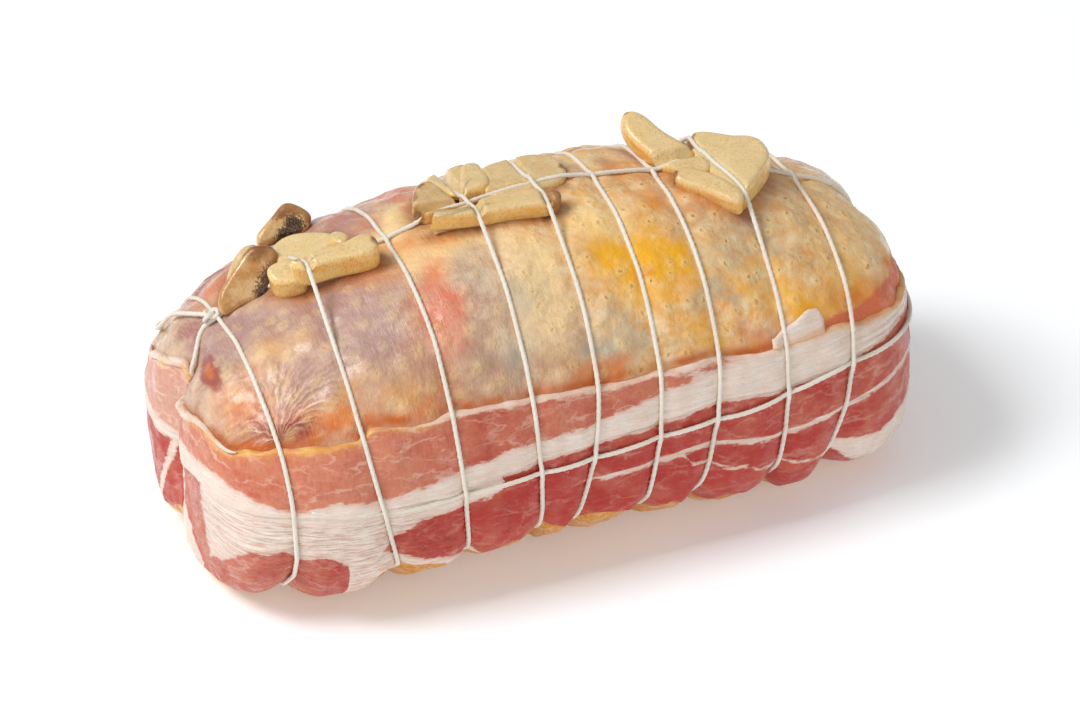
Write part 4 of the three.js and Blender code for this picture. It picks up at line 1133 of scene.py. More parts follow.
# %% Outline and sheet of a slice
RIM_POINTS = 132
SLICE_ROUND = 1.5
CORNER_ROUND = 4  # rim points over which each corner is evened out, to either side
FACE_ROWS, EDGE_ROWS, SIDE_ROWS, UNDER_ROWS = 20, 5, 13, 5
WAVE_HIGH, WAVE_LONG, MARK_RAGGED = 0.22, 8.0, 0.5


def even_path(points, step, ring=False):
    """The same line with its points at even steps."""
    line = np.concatenate([points, points[:1]]) if ring else points
    length = np.concatenate([[0], np.cumsum(np.linalg.norm(np.diff(line, axis=0), axis=1))])
    count = max(4, int(round(length[-1] / step)))
    at = np.linspace(0, length[-1], count + (1 if ring else 0))
    line = np.stack([np.interp(at, length, axis) for axis in line.T], axis=-1)
    return line[:-1] if ring else line


def settle(path, reach, ring):
    """The path with each point moved to the mean of its neighbours within the reach."""
    kernel = np.ones(2 * reach + 1) / (2 * reach + 1)
    padded = np.concatenate([path[-reach:], path, path[:reach]]) if ring else np.pad(
        path, ((reach, reach), (0, 0)), mode="reflect", reflect_type="odd")
    return np.stack([np.convolve(axis, kernel, mode="valid") for axis in padded.T], axis=-1)


def soft_outline(corners, count):
    """A closed curve through the corners: each span blends the lines through its four neighbours,
    with knots spaced by the square root of the distance, so that close corners don't make loops."""
    p = [np.roll(np.array(corners, float), shift, axis=0)[:, None, :] for shift in (1, 0, -1, -2)]
    gap = [np.sqrt(np.linalg.norm(b - a, axis=-1, keepdims=True)) for a, b in zip(p, p[1:])]
    knot = [0 * gap[0], gap[0], gap[0] + gap[1], gap[0] + gap[1] + gap[2]]
    at = knot[1] + gap[1] * np.linspace(0, 1, 24, endpoint=False)[None, :, None]

    def between(a, b, low, high):
        return ((high - at) * a + (at - low) * b) / (high - low)

    first = [between(p[k], p[k + 1], knot[k], knot[k + 1]) for k in range(3)]
    second = [between(first[k], first[k + 1], knot[k], knot[k + 2]) for k in range(2)]
    curve = between(second[0], second[1], knot[1], knot[2]).reshape(-1, 2)
    length = np.sum(np.linalg.norm(curve - np.roll(curve, -1, axis=0), axis=1))
    return settle(even_path(curve, length / count, ring=True), CORNER_ROUND, True)


def slice_rows(thick):
    """Share of the reach from the middle, inset from the rim and height of each row, top to bottom:
    the face, the rounded edge, the cut side, the lower edge and the underside."""
    turn = np.linspace(0, QUARTER, EDGE_ROWS)
    inset, drop = SLICE_ROUND * (1 - np.sin(turn)), SLICE_ROUND * (np.cos(turn) - 1)
    blocks = [
        (np.linspace(0.04, 0.96, FACE_ROWS), SLICE_ROUND, 0),
        (1, inset, drop),
        (1, 0, np.linspace(-SLICE_ROUND, SLICE_ROUND - thick, SIDE_ROWS + 2)[1:-1]),
        (1, inset[::-1], -thick - drop[::-1]),
        (np.linspace(0.9, 0.08, UNDER_ROWS), SLICE_ROUND, -thick),
    ]
    return np.concatenate([np.stack(np.broadcast_arrays(*block)) for block in blocks], axis=1).T


def slice_sheet(slab, seed):
    """The slice's points and measures: rows from the middle of its face over the rim to its back."""
    normal = np.array([*slab["tilt"], 1.0])
    normal /= np.linalg.norm(normal)
    along = np.array([1.0, 0, 0]) - normal * normal[0]
    along /= np.linalg.norm(along)
    away = np.cross(normal, along)
    rim = soft_outline(slab["outline"], RIM_POINTS)
    step = np.roll(rim, -1, axis=0) - np.roll(rim, 1, axis=0)
    push = np.stack([step[:, 1], -step[:, 0]], axis=-1) / np.linalg.norm(step, axis=1)[:, None]
    area = np.sum(rim[:, 0] * np.roll(rim[:, 1], -1) - rim[:, 1] * np.roll(rim[:, 0], -1))
    push = push * np.sign(area)
    share, inset, rise = slice_rows(slab["thick"]).T
    middle = rim.mean(axis=0)
    uv = middle + (rim[None] - push[None] * inset[:, None, None] - middle) * share[:, None, None]
    local = np.concatenate([uv, np.broadcast_to(rise[:, None, None], uv.shape[:2] + (1,))], axis=-1)
    on_side = smooth(-rise / SLICE_ROUND) * smooth((slab["thick"] + rise) / SLICE_ROUND) * (share == 1)
    wave = WAVE_HIGH * rough(local + 40 * seed, WAVE_LONG, 100)
    local[..., 2] += (1 - on_side)[:, None] * wave
    local[..., :2] += (on_side[:, None] * wave)[..., None] * push[None]
    marks = {"cap": np.zeros(uv.shape[:2]), "gill": np.zeros(uv.shape[:2])}
    for kind, u, v, size in slab["marks"]:
        gap = np.hypot(uv[..., 0] - u, uv[..., 1] - v) + MARK_RAGGED * noise(local, 2.0, 106)
        marks[kind] = np.maximum(marks[kind], smooth(1.5 - gap / size))
    points = np.array(slab["at"]) + local[..., :1] * along + local[..., 1:2] * away + local[..., 2:] * normal
    ones = np.ones(uv.shape[:2])
    return points, {"side": on_side[:, None] * ones, "tone": slab["tone"] * ones, **marks}


slices = {name: slice_sheet(slab, k) for k, (name, slab) in enumerate(MUSHROOMS.items())}
print("slice sheet", slices["left_block"][0].shape)

# %% [markdown]
# ## The string
# Butcher's string is three cotton plies twisted together, pulled tight. A tight string takes the
# shortest way round, so each turn is worked out as the tightest loop round everything under it: for
# every direction the furthest point is found, and neighbouring limits are joined. The string is
# then sunk a little into the soft meat, and where two cross, the turn goes over the other strand.
# A rope run could do the same, but it would take long and settle a little differently each time.

# %% Routes of the string
STRING_R = 0.9
STRING_SUNK = 0.5
LOOP_LIMITS = 220
PATH_STEP = 0.5
SIDE_HEIGHT = [
    (-252, 58), (-222, 46), (-140, 42), (-20, 46), (68, 45.8), (103, 41.4), (157, 38.6), (198, 37),
    (221, 40),
]
SIDE_FROM, SIDE_TO = 219.5, -238
RASHER_LIFT, CLIMB_LIFT = 1.0, 1.3  # how far the strand lies off the even loaf
SIDE_BURIED, SIDE_BURIED_FROM = 0.95, 176  # how deep the fat closes over the strand, and from where
CLEFT_BURIED = 3.4  # how deep the lengthwise string lies in the left cleft
SIDE_CLIMB = [(-91.5, 24, 59.5), (-88.5, 15.5, 64)]
KNOT_AT = np.array([-86.3, 9.6, 67.6])
RING_CLIMB = [(-28, 8, 0.8), (42, 50, 1.6)]  # from one station to another, by how much
CLIMB_RUN = 6
# A string is drawn over a layer of points, half as thick as this. Rows of skin lie 1 mm apart, and
# the fifth turn just misses them underneath, so there it runs inside the meat.
NEAR_TURN, NEAR_RING = 0.6, 0.5
TURN_OVER = {
    1: (2.4, ["left_chunk", "left_block"]), 3: (2.6, ["mid_slice_front", "mid_slice_upright"]),
    4: (2.0, ["mid_slice_front", "mid_slice_back"]), 7: (1.2, ["right_cap_back"]),
}  # how deep a turn is pulled into the slices under it, and which they are
HEAP_SWAY = {7: -5.0}  # how far the slices push a turn along the roast
SWAY_MIDDLE, SWAY_SPAN, SWAY_FROM, SWAY_RUN = 8, 15, 72, 10
flesh = np.concatenate([skin.reshape(-1, 3)] + [
    sheet[0][:, : sheet[0].shape[1] // 2].reshape(-1, 3) for sheet in rasher_sheets.values()
])


def taut_loop(flat_points, clear):
    """The tightest loop round points of a plane: where each limit line meets the next."""
    turn = np.arange(LOOP_LIMITS) / LOOP_LIMITS * 2 * math.pi
    n = np.stack([np.cos(turn), np.sin(turn)], axis=-1)
    reach = (flat_points @ n.T).max(axis=0) + clear
    m, far = np.roll(n, -1, axis=0), np.roll(reach, -1)
    det = n[:, 0] * m[:, 1] - n[:, 1] * m[:, 0]
    loop = [reach * m[:, 1] - far * n[:, 1], far * n[:, 0] - reach * m[:, 0]] / det
    return settle(even_path(loop.T, PATH_STEP, ring=True), 3, True)


def ring_y(x, z):
    """Where the lengthwise string lies across the roast: it drifts back near the knot."""
    at_end = 3.5 * smooth((-60 - x) / 30) * smooth((z - 15) / 15)
    return RIGHT_CLEFT_Y + at_end + 4 * smooth((-35 - x) / 50) * smooth((z - 56) / 10)


def turn_route(k):
    """A turn: the taut loop in its own leaning plane, over the flesh and the slices pressed by it."""
    pressed, names = TURN_OVER.get(k, (0, []))
    heap = [slices[name][0].reshape(-1, 3) - [0, 0, pressed] for name in names]
    under = np.concatenate([flesh, *heap])
    near = np.abs(station_of(under[:, 0], under[:, 2]) - TURN_X[k]) < NEAR_TURN
    loop = taut_loop(under[near][:, 1:], STRING_R - STRING_SUNK)
    x = TURN_X[k] + wander(TURN_X[k], loop[:, 1])
    sway = bell((loop[:, 0] - SWAY_MIDDLE) / SWAY_SPAN) * smooth((loop[:, 1] - SWAY_FROM) / SWAY_RUN)
    x = x + HEAP_SWAY.get(k, 0) * sway
    return np.stack([x, loop[:, 0], loop[:, 1]], axis=-1)


def lengthwise_route():
    """The lengthwise loop, lifted over the middle and right heaps."""
    near = np.abs(flesh[:, 1] - ring_y(flesh[:, 0], flesh[:, 2])) < NEAR_RING
    loop = taut_loop(flesh[near][:, [0, 2]], STRING_R - STRING_SUNK)
    x, z = loop.T
    lift = sum(
        rise * smooth((x - start) / CLIMB_RUN + 1) * smooth((end - x) / CLIMB_RUN + 1)
        for start, end, rise in RING_CLIMB)
    buried = CLEFT_BURIED * smooth((57 - z) / 8) * smooth((-90 - x) / 6)
    return np.stack([x + buried, ring_y(x, z), z + np.where(z > 70, lift, 0)], axis=-1)


def side_route():
    """The strand round the flanks, from the first turn round the right end and back to the knot."""
    s = np.arange(SIDE_FROM, SIDE_TO, -PATH_STEP)
    z = edge_at(SIDE_HEIGHT, s)
    buried = SIDE_BURIED * smooth((s - SIDE_BURIED_FROM) / 8)
    path = skin_point(flank_point(s, z), RASHER_LIFT + STRING_R - STRING_SUNK - buried)
    climb = skin_point(np.array(SIDE_CLIMB, float), np.full(len(SIDE_CLIMB), CLIMB_LIFT))
    path = even_path(np.concatenate([path, climb, [KNOT_AT]]), PATH_STEP)
    return settle(path, 6, False)


def cross_over(path, other, lift, reach=2.4):
    """Lifts the path off the meat by a bell of its distance to another string; below 0 it sinks."""
    gap = np.min(np.linalg.norm(path[:, None] - other[None], axis=-1), axis=1)
    return path + outward(path) * (lift * bell(gap / reach))[:, None]


turns = [turn_route(k) for k in range(len(TURN_X))]
lengthwise, side_strand = lengthwise_route(), side_route()
every_turn = np.concatenate(turns)
side_strand = cross_over(side_strand, every_turn, lift=-0.35)
lengthwise = cross_over(lengthwise, np.concatenate([every_turn, side_strand]), lift=-0.3)
crossed = np.concatenate([lengthwise, side_strand])
turns = [cross_over(path, crossed, lift=0.85) for path in turns]
print("string in all:", sum(len(path) for path in [*turns, lengthwise, side_strand]) * PATH_STEP, "mm")

# %% [markdown]
# ## The string, finished
# The tube's section is not a circle: three soft lobes turn round it once each lay, as the plies do.
# Cotton also sheds short fibres, which catch the light. Particle hair could give them, but short
# three-sided tubes are part of the strand's own mesh and go wherever it goes.

# %% Material of the string
def make_string_material():
    """Off-white cotton: stained a little by the meat in patches, rough, with fine fibre relief."""
    material, tree, shader = new_material("cotton_string", 0.82, 0.08, (0.6, 0.5, 0.4))
    patches = effect(tree, "blotches", in_mm(tree), Size=14.0)
    fibres = effect(tree, "streaks", field(tree, "twist", out="Vector"), Along=5.0, Across=0.16)
    dress(tree, shader, {
        "Base Color": stains(tree, "#f6f1e6", ("#ecc9a6", patches, 0.28), ("#d9cdbb", fibres, 0.35)),
        "Normal": bumps(tree, (fibres, 0.00008, 0.6)),
    })
    return material


string_material = make_string_material()

# %% [markdown]
# Each strand is a tube of rings set square to its path. The hairs leave it at random places and
# bend along it, one for every 1.6 mm of string.

# %% Tube and hairs
STRING_SIDES = 14
TUBE_R = 0.66  # thinner than STRING_R, its slack size, as a tight string is
LAY = 5.6  # length of one twist
PLIES = 3
PLY_DEPTH = 0.09
HAIR_EVERY = 1.6  # one hair for this length of string
HAIR_R = 0.035
HAIR_RINGS, HAIR_SIDES = 4, 3


def string_tube(path, ring, axis):
    """Rings across the path, their radius swelling three times round and turning along the lay."""
    ahead = np.roll(path, -1, axis=0) - np.roll(path, 1, axis=0)
    if not ring:
        ahead[0], ahead[-1] = path[1] - path[0], path[-1] - path[-2]
    ahead /= np.linalg.norm(ahead, axis=1)[:, None]
    side = np.array(axis, float) - ahead * (ahead @ np.array(axis, float))[:, None]
    side /= np.linalg.norm(side, axis=1)[:, None]
    rise = np.cross(ahead, side)
    along = np.arange(len(path))[:, None] * PATH_STEP
    if ring:
        along = along * round(len(path) * PATH_STEP / LAY) * LAY / (len(path) * PATH_STEP)
    round_it = np.arange(STRING_SIDES)[None, :] / STRING_SIDES * 2 * math.pi
    spin = round_it - 2 * math.pi * along / LAY
    radius = TUBE_R * (1 - PLY_DEPTH + PLY_DEPTH * np.cos(PLIES * spin))
    points = path[:, None] + radius[..., None] * (
        np.cos(round_it)[..., None] * side[:, None] + np.sin(round_it)[..., None] * rise[:, None])
    twist = np.stack(np.broadcast_arrays(along, spin * STRING_R, 0.0), axis=-1)
    return points, twist


def hair_sheet(path, seed):
    """Three-sided hairs that leave the string sideways and bend along it, as rings of points."""
    draw = np.random.default_rng(seed)
    count = int(len(path) * PATH_STEP / HAIR_EVERY)
    at = draw.integers(2, len(path) - 2, count)
    ahead = path[at + 1] - path[at - 1]
    ahead /= np.linalg.norm(ahead, axis=1)[:, None]
    loose = draw.normal(size=(count, 3))
    loose -= ahead * np.sum(loose * ahead, axis=1)[:, None]
    loose /= np.linalg.norm(loose, axis=1)[:, None]
    length = draw.uniform(0.5, 1.6, count)[:, None, None]
    lean = draw.uniform(-1.2, 1.2, count)[:, None, None]
    t = np.linspace(0, 1, HAIR_RINGS)[None, :, None]
    middle = path[at][:, None] + loose[:, None] * (TUBE_R * 0.85 + 0.7 * length * np.sin(1.5 * t))
    middle = middle + ahead[:, None] * length * lean * t * t
    across = np.cross(ahead, loose)[:, None]
    rings = [middle + HAIR_R * (math.cos(a) * across + math.sin(a) * ahead[:, None]) for a in (0, 2.1, 4.2)]
    points = np.stack(rings, axis=2)
    start = HAIR_RINGS * HAIR_SIDES * np.arange(count)[:, None, None]
    faces = start + sheet_faces(HAIR_RINGS, HAIR_SIDES)[None]
    caps = start + np.array([[0, 2, 1], [9, 10, 11]])[None]
    return points.reshape(-1, 3), faces.reshape(-1, 4), caps.reshape(-1, 3)


def make_string(name, path, ring, axis, seed):
    """One strand with its hairs as a piece that stands for its node."""
    grid, twist = string_tube(path, ring, axis)
    if ring:
        points, fields = grid.reshape(-1, 3), {"twist": twist}
        faces = [sheet_faces(*grid.shape[:2], ring=True)]
    else:
        points, faces, fields = with_poles(grid, {"twist": twist})
    hairs, quads, caps = hair_sheet(path, seed)
    twist = np.concatenate([np.asarray(fields["twist"]).reshape(-1, 3), np.zeros((len(hairs), 3))])
    start = len(points)
    points = np.concatenate([points.reshape(-1, 3), hairs])
    faces = faces + [quads + start, caps + start]
    return make_piece(name, points, faces, {"twist": twist}, string_material, "string", name)


for k, path in enumerate(turns):
    make_string(f"string_turn_{k + 1}", path, True, (1, 0, 0), 200 + k)
make_string("string_lengthwise", lengthwise, True, (0, 1, 0), 210)
make_string("string_side", side_strand, False, (0, 0, 1), 211)

# %% [markdown]
# The strings are tied off near the left end. The real knot is half hidden. A trefoil, the simplest
# closed knot, has the loops over and under of any small knot, and is one formula.

# %% The knot
KNOT_SCALE = 0.76  # millimetres to one unit of the formula


def knot_route():
    """A three-lobed knot: two turns one way while the line passes three times up and down."""
    t = np.linspace(0, 2 * math.pi, 90, endpoint=False)
    flat = np.stack([np.sin(t) + 2 * np.sin(2 * t), np.cos(t) - 2 * np.cos(2 * t)], axis=-1)
    normal = outward(KNOT_AT)
    side = np.cross(normal, [0, 1, 0])
    side /= np.linalg.norm(side)
    rise = -0.75 * np.sin(3 * t)
    spread = flat[:, :1] * side + flat[:, 1:] * np.cross(normal, side) + rise[:, None] * normal
    return even_path(KNOT_AT + KNOT_SCALE * spread, PATH_STEP, ring=True)


make_string("string_knot", knot_route(), True, tuple(outward(KNOT_AT)), 212)

# %% [markdown]
# ## The skin, finished
# The tints are layered from the broadest to the sharpest, first the ground and the listed patches.
# A painted picture could hold them, but masks in the mesh stay sharp at any distance.

# %% Ground colour of the skin
SKIN_LAYERS = [
    ("peach", "#ffe0a2", 1.1), ("brown", "#b8774c", 0.75), ("mauve", "#ab8386", 0.6),
    ("grey", "#a8a293", 0.8), ("pink", "#df7c5c", 0.8), ("yellow", "#f8b425", 1.05),
    ("orange", "#e37a26", 0.95), ("red", "#98402f", 0.9),
]


def skin_ground(tree, place, other_place, share, fine):
    """Beige, cool at the left and warm at the right by the share, and lighter at the right partly as
    painted light; mottled, then tinted by patches that mottling breaks up."""
    light = effect(tree, "blotches", place, Size=5.0)
    dark = effect(tree, "blotches", other_place, Size=6.5)
    warm = effect(tree, "blotches", other_place, Size=3.2)
    pale = tint(tree, share, "#ecd2b2", "#fbe7c0")
    colour = stains(
        # The ground turns warm at the right, and lighter there partly as painted light on that end.
        tree, tint(tree, share, "#cba186", "#f3ca8b"), (pale, light, 0.8),
        (tint(tree, share, "#a57a68", "#bb864a"), dark, 0.7), ("#f2a032", warm, share, 0.7),
        (pale, fine, 0.3))
    broken = line(tree, calc(tree, "ADD", dark, fine), 0.35, 0.6)
    return stains(tree, colour, *[
        (hue, field(tree, name), strength, broken) for name, hue, strength in SKIN_LAYERS])


print("layers of tint:", [name for name, hue, strength in SKIN_LAYERS])

# %% [markdown]
# Folds that leave one place at even angles spread apart, so three sets of them, each finer than the
# last, take over from one another with distance. Feather follicles sit on a loose lattice: the
# distance to the nearest middle of a cell gives a yellow halo, and, closer in, an orange dimple.

# %% Folds and follicles of the skin
FOLD_COUNTS = (28.0, 64.0, 130.0)  # folds round the pinch in each set
FOLD_STARTS = ((5.0, 10.0), (12.0, 18.0))  # distances over which the next set takes over
FOLLICLE_GAP = 6.4


def fold_crease(tree, flat):
    """Folds round the pinch: below 0 in a furrow, above 0 on a ridge."""
    away = node(tree, "ShaderNodeVectorMath", {0: flat, 1: (*PINCH, 0.0)}, operation="SUBTRACT")
    reach = effect(tree, "gathers", away, out="Reach")
    sets = [effect(tree, "gathers", away, Count=count, Droop=GATHER_DROOP) for count in FOLD_COUNTS]
    crease = sets[0]
    for (start, end), finer in zip(FOLD_STARTS, sets[1:]):
        crease = node(tree, "ShaderNodeMix", {0: ease(tree, reach, start, end), 2: crease, 3: finer})
    return times(tree, crease, field(tree, "gathered"))


def follicles(tree, flat, kept):
    """Halo and dimple of each follicle, the dimple only as strong as it is kept."""
    shake = node(tree, "ShaderNodeTexNoise", {"Vector": flat, "Scale": 0.45, "Detail": 3.0}, out="Color")
    shaken = {0: shake, 1: (3.0, 3.0, 3.0), 2: flat}
    loose = node(tree, "ShaderNodeVectorMath", shaken, operation="MULTIPLY_ADD")
    loose = stretch(tree, loose, (1 / FOLLICLE_GAP,) * 3)
    inputs = {"Vector": loose, "Scale": 1.0, "Randomness": 0.85}
    cell = node(tree, "ShaderNodeTexVoronoi", inputs, out="Distance", voronoi_dimensions="2D")
    dimple = rest(tree, ease(tree, cell, 0.02, 0.11))
    return rest(tree, ease(tree, cell, 0.0, 0.42)), times(tree, dimple, kept)


print("folds in each set:", FOLD_COUNTS)

# %% [markdown]
# The layers go on in the order in which they cover each other: fine strokes where the down was
# singed off, folds painted paler on their ridges and darker in their furrows as painted light and
# shade, follicles, the bruise, the orange rim above the rashers, painted shade round the slices,
# raw meat and the golden foot. Bumps add the leathery grain.

# %% Material of the skin
def make_skin_material():
    """Mottled beige skin, tinted in layers, with follicles, down strokes and a wet film."""
    material, tree, shader = new_material("fowl_skin", 0.42, 0.14, (1.0, 0.5, 0.3))
    place = in_mm(tree)
    other_place = stretch(tree, place, (1.0, -1.0, -1.0))
    flat = field(tree, "place", out="Vector")
    share = field(tree, "rightness")
    fine = effect(tree, "blotches", place, Size=1.6)
    down = effect(tree, "streaks", flat, Along=0.4, Across=4.0)
    crease = fold_crease(tree, flat)
    kept = times(tree, effect(tree, "blotches", other_place, Size=9.0), field(tree, "follicles"))
    halo, dimple = follicles(tree, flat, kept)
    colour = stains(
        tree, skin_ground(tree, place, other_place, share, fine),
        ("#ecd6bd", line(tree, down, 0.32, -0.144), rest(tree, share, 0.8)),
        # Painted light on the ridges of the gathered folds and painted shade in their furrows.
        ("#f0c49a", crease, 0.42), ("#a5603f", crease, -0.26),
        ("#f6d798", halo, line(tree, kept, 0.5, 0.16)), ("#c06a26", dimple, 0.7),
        ("#a1433c", field(tree, "bruise"), 0.85), ("#d3773a", field(tree, "bruise_heart"), 0.8),
        # a85a24 is painted shade on the skin round the foot of each mushroom slice.
        ("#c4621f", field(tree, "rim")), ("#a85a24", field(tree, "juice")),
        ("#dd7148", field(tree, "meat")),
        (tint(tree, fine, "#c47a28", "#e2a248"), field(tree, "golden")))
    film, gloss = wet_film(tree, place, 6.0, 0.42, 0.24)
    normal = bumps(
        tree, (grain(tree, place, 0.6, 4.0, 0.5), 0.0008, 0.45),
        (times(tree, down, rest(tree, share, 0.85)), 0.00012, 0.5),
        (crease, 0.00018, 0.6), (halo, 0.0006, 0.5), (line(tree, dimple, -1.0), 0.0005, 0.8))
    dress(tree, shader, {
        "Base Color": colour, "Roughness": gloss, "Coat Weight": line(tree, film, 0.45), "Normal": normal,
    })
    return material


skin_material = make_skin_material()

# %% [markdown]
# The material reads each of its masks from the skin's points. The masks are worked out here, where
# the edges of the rashers, the slices and the patches are known. Noise makes most edges ragged.

# %% Measures of the skin, and the roll
# Painted shade on the skin round the slices: its reach, its strength, the height below which it stops, and
# how many outline points it reads.
SLICE_SHADE_REACH, SLICE_SHADE_FULL = 3.2, 0.75
SLICE_SHADE_FROM = 55  # height below which there are no slices
SLICE_SHADE_SKIP = 6  # one point in six of an outline is enough
FAR_OFF = 99.0
BRUISE_AT = (-92.4, -6.6)  # station and arc of the one sharp bruise
BRUISE_HALF = (2.1, 9.0)
MEAT_PLACES, MEAT_HEIGHTS = [4, 20, 34, 48, 62, 72, 80], [3, 5.5, 6.5, 5.5, 4, 2.2, 0]


def slice_shade_mask(points):
    """Brown painted shade where slices lie: a bell of the distance to the foot of the nearest outline."""
    foot_row = -UNDER_ROWS - EDGE_ROWS // 2 - 1
    feet = np.concatenate([grid[foot_row][::SLICE_SHADE_SKIP] for grid, _ in slices.values()])
    flat = points.reshape(-1, 3)
    high = flat[:, 2] > SLICE_SHADE_FROM
    gap = np.full(len(flat), FAR_OFF)
    gap[high] = np.min(np.linalg.norm(flat[high][:, None, :2] - feet[None, :, :2], axis=-1), axis=1)
    return (SLICE_SHADE_FULL * bell(gap / SLICE_SHADE_REACH)).reshape(points.shape[:2])


def skin_fields():
    """Every measure that the skin's material reads."""
    ragged = skin_place[..., :2] + PATCH_RAGGED * np.stack(
        [rough(loaf, 7, 30), rough(loaf, 7, 34)], axis=-1)
    fields = {name: tint_mask(ragged, rows) for name, rows in TINTS.items()}
    s = girth_place(loaf)
    above_rim = loaf[..., 2] - rasher_top(s) - 0.5 * rough(flat_place(s, 1.0), 5, 36)
    fields["rim"] = np.clip(bell((above_rim - 0.8) / 1.5) * (0.75 + 0.5 * rough(loaf, 6, 38)), 0, 1)
    meat_high = np.interp(s, MEAT_PLACES, MEAT_HEIGHTS)
    at_right = (s < MEAT_PLACES[-1]) * (s > MEAT_PLACES[0])
    fields["meat"] = smooth((meat_high - above_rim) / 0.7) * at_right
    fields["golden"] = smooth((30 - loaf[..., 2]) / 8)
    fields["juice"] = slice_shade_mask(loaf)
    fields["rightness"] = smooth((loaf[..., 0] + 25 + 6 * rough(loaf, 18, 40)) / 40)
    fields["follicles"] = 0.5 + 0.5 * smooth((loaf[..., 0] + 10) / 25)
    fields["gathered"] = gather_share(skin_place)
    across, up = np.moveaxis((skin_place[..., :2] - BRUISE_AT) / BRUISE_HALF, -1, 0)
    gap = np.hypot(across, up) + 0.22 * rough(loaf, 3, 46)
    fields["bruise"], fields["bruise_heart"] = smooth((1.05 - gap) / 0.2), smooth((0.55 - gap) / 0.35)
    fields["place"] = skin_place
    return fields


points, faces, fields = with_poles(skin, skin_fields())
make_piece("fowl_roll_skin", points, faces, fields, skin_material, "skin", "fowl_roll")

# %% [markdown]
# ## The rashers, finished
# Lean and fat share one material, and the stored border tells them apart. The lean is salmon to deep
# red with threads of white fat, the fat is cream with faint pink lines, and both are wet.

# %% Colours of lean and fat
def lean_colour(tree, flat, bent, cloud):
    """Salmon to deep red by the tone and a cloud, with pale fibres; and the lacy threads of fat."""
    depth = field(tree, "tone")
    calm = rest(tree, depth)
    fine_veins = effect(tree, "veins", bent, Length=1.4, Height=1.5, Thread=0.2)
    veins = effect(tree, "veins", flat, Length=12.0, Height=5.5, Thread=0.16)
    veins = calc(tree, "MAXIMUM", veins, times(tree, fine_veins, 0.25))
    veins = times(tree, veins, line(tree, calm, 0.3, 0.17))
    tone = calc(tree, "ADD", depth, line(tree, cloud, 0.5, -0.25))
    colour = stains(
        tree, tint(tree, tone, "#d27f60", "#b62a1c"), ("#d9b3a4", depth, -1.0),
        ("#a23020", effect(tree, "blotches", flat, Size=2.4), 0.2),
        ("#ebb08e", effect(tree, "streaks", flat, Along=0.8, Across=3.0), calm, 0.18),
        ("#f0cfb9", veins))
    return colour, veins


def fat_colour(tree, flat, bent, border):
    """Cream with faint lines, pinker where it is fibrous and near the lean; and both kinds of line."""
    lines = effect(tree, "streaks", flat, Along=9.0, Across=0.7)
    strands = ease(tree, effect(tree, "streaks", bent, Along=1.8, Across=0.4), 0.45, 1.0)
    strands = times(tree, field(tree, "fibrous"), strands)
    colour = stains(
        tree, "#f3e5d8", ("#dfc3b1", lines, 0.4), ("#d8937a", strands, 0.62),
        ("#dfb39a", effect(tree, "blotches", flat, Size=5.0), 0.3),
        ("#d9957c", ease(tree, border, -1.8, 0.1), 0.4))
    return colour, lines, strands


print("lean and fat have a colour function each")

# %% [markdown]
# A little noise bends the stored border before it is cut, so that lean and fat meet raggedly. Above
# both lies a golden stain along the upper edge.

# %% Material of the rashers
def make_rasher_material():
    """Colour of lean and of fat, mixed at the border; fibre, marbling and a wet film over both."""
    material, tree, shader = new_material("cured_rasher", 0.36, 0.16, (1.0, 0.4, 0.25))
    place = in_mm(tree)
    flat = field(tree, "place", out="Vector")
    bent = stretch(tree, flat, (0.3, 0.75, 1.0))
    wobble = line(tree, grain(tree, bent, 1.0, 6.0, 0.62), 1.0, -0.5)
    border = calc(tree, "ADD", field(tree, "lean"), line(tree, wobble, 3.6))
    lean = ease(tree, border, -0.3, 0.4)
    cloud = effect(tree, "blotches", flat, Size=8.0)
    meat, veins = lean_colour(tree, flat, bent, cloud)
    fat, lines, strands = fat_colour(tree, flat, bent, border)
    gold = tint(tree, cloud, "#eeb755", "#d98436")
    film, gloss = wet_film(tree, place, 4.5, 0.45, 0.22)
    normal = bumps(
        tree, (times(tree, lines, rest(tree, lean)), 0.0003, 0.45), (line(tree, strands, -1.0), 0.0003, 0.6),
        (line(tree, veins, -1.0), 0.0002, 0.4), (grain(tree, place, 1.0, 4.0), 0.0005, 0.4))
    dress(tree, shader, {
        "Base Color": stains(
            tree, tint(tree, lean, fat, meat), (gold, field(tree, "gold"), line(tree, wobble, 1.0, 1.0))),
        "Roughness": gloss, "Coat Weight": line(tree, film, 0.22), "Normal": normal,
    })
    return material


rasher_material = make_rasher_material()

# %% [markdown]
# The border of the lean is already known. The gold follows the upper edge, stronger in some places
# than in others, and the fibrous sheet lies low at the left.

# %% Measures of the rashers
GOLD_PLACES = [30, 60, 78, 96, 180, 205, 232, 262, 290, 330]
GOLD_SHARES = [0.8, 0.8, 0.6, 0.15, 0.15, 0.9, 0.9, 0.5, 0.5, 0.1]
FIBROUS_FROM, FIBROUS_TO, FIBROUS_TOP = 180, 262, 37


def rasher_fields(place, lean, tone):
    """The stored measures: place, border of the lean, its tone, golden stain and fibrous sheet."""
    s, z = place[..., 0], place[..., 1]
    gold = np.interp(s, GOLD_PLACES, GOLD_SHARES) * bell((rasher_top(s) - z - 0.3) / 1.1)
    inside = (z < FIBROUS_TOP) * (s > FIBROUS_FROM) * (s < FIBROUS_TO)
    fibrous = within(z, edge_at(FOOT_RIM, s) - 20, FIBROUS_TOP) * within(s, FIBROUS_FROM, FIBROUS_TO) / 60
    return {
        "place": place, "lean": lean, "tone": np.interp(s, *tone), "gold": gold,
        "fibrous": np.clip(fibrous, 0, 1) * inside}


for name, (grid, place, lean) in rasher_sheets.items():
    fields = rasher_fields(place, lean, RASHERS[name]["tone"])
    make_piece(name, grid, [band_faces(*grid.shape[:2])], fields, rasher_material, "bard", name)

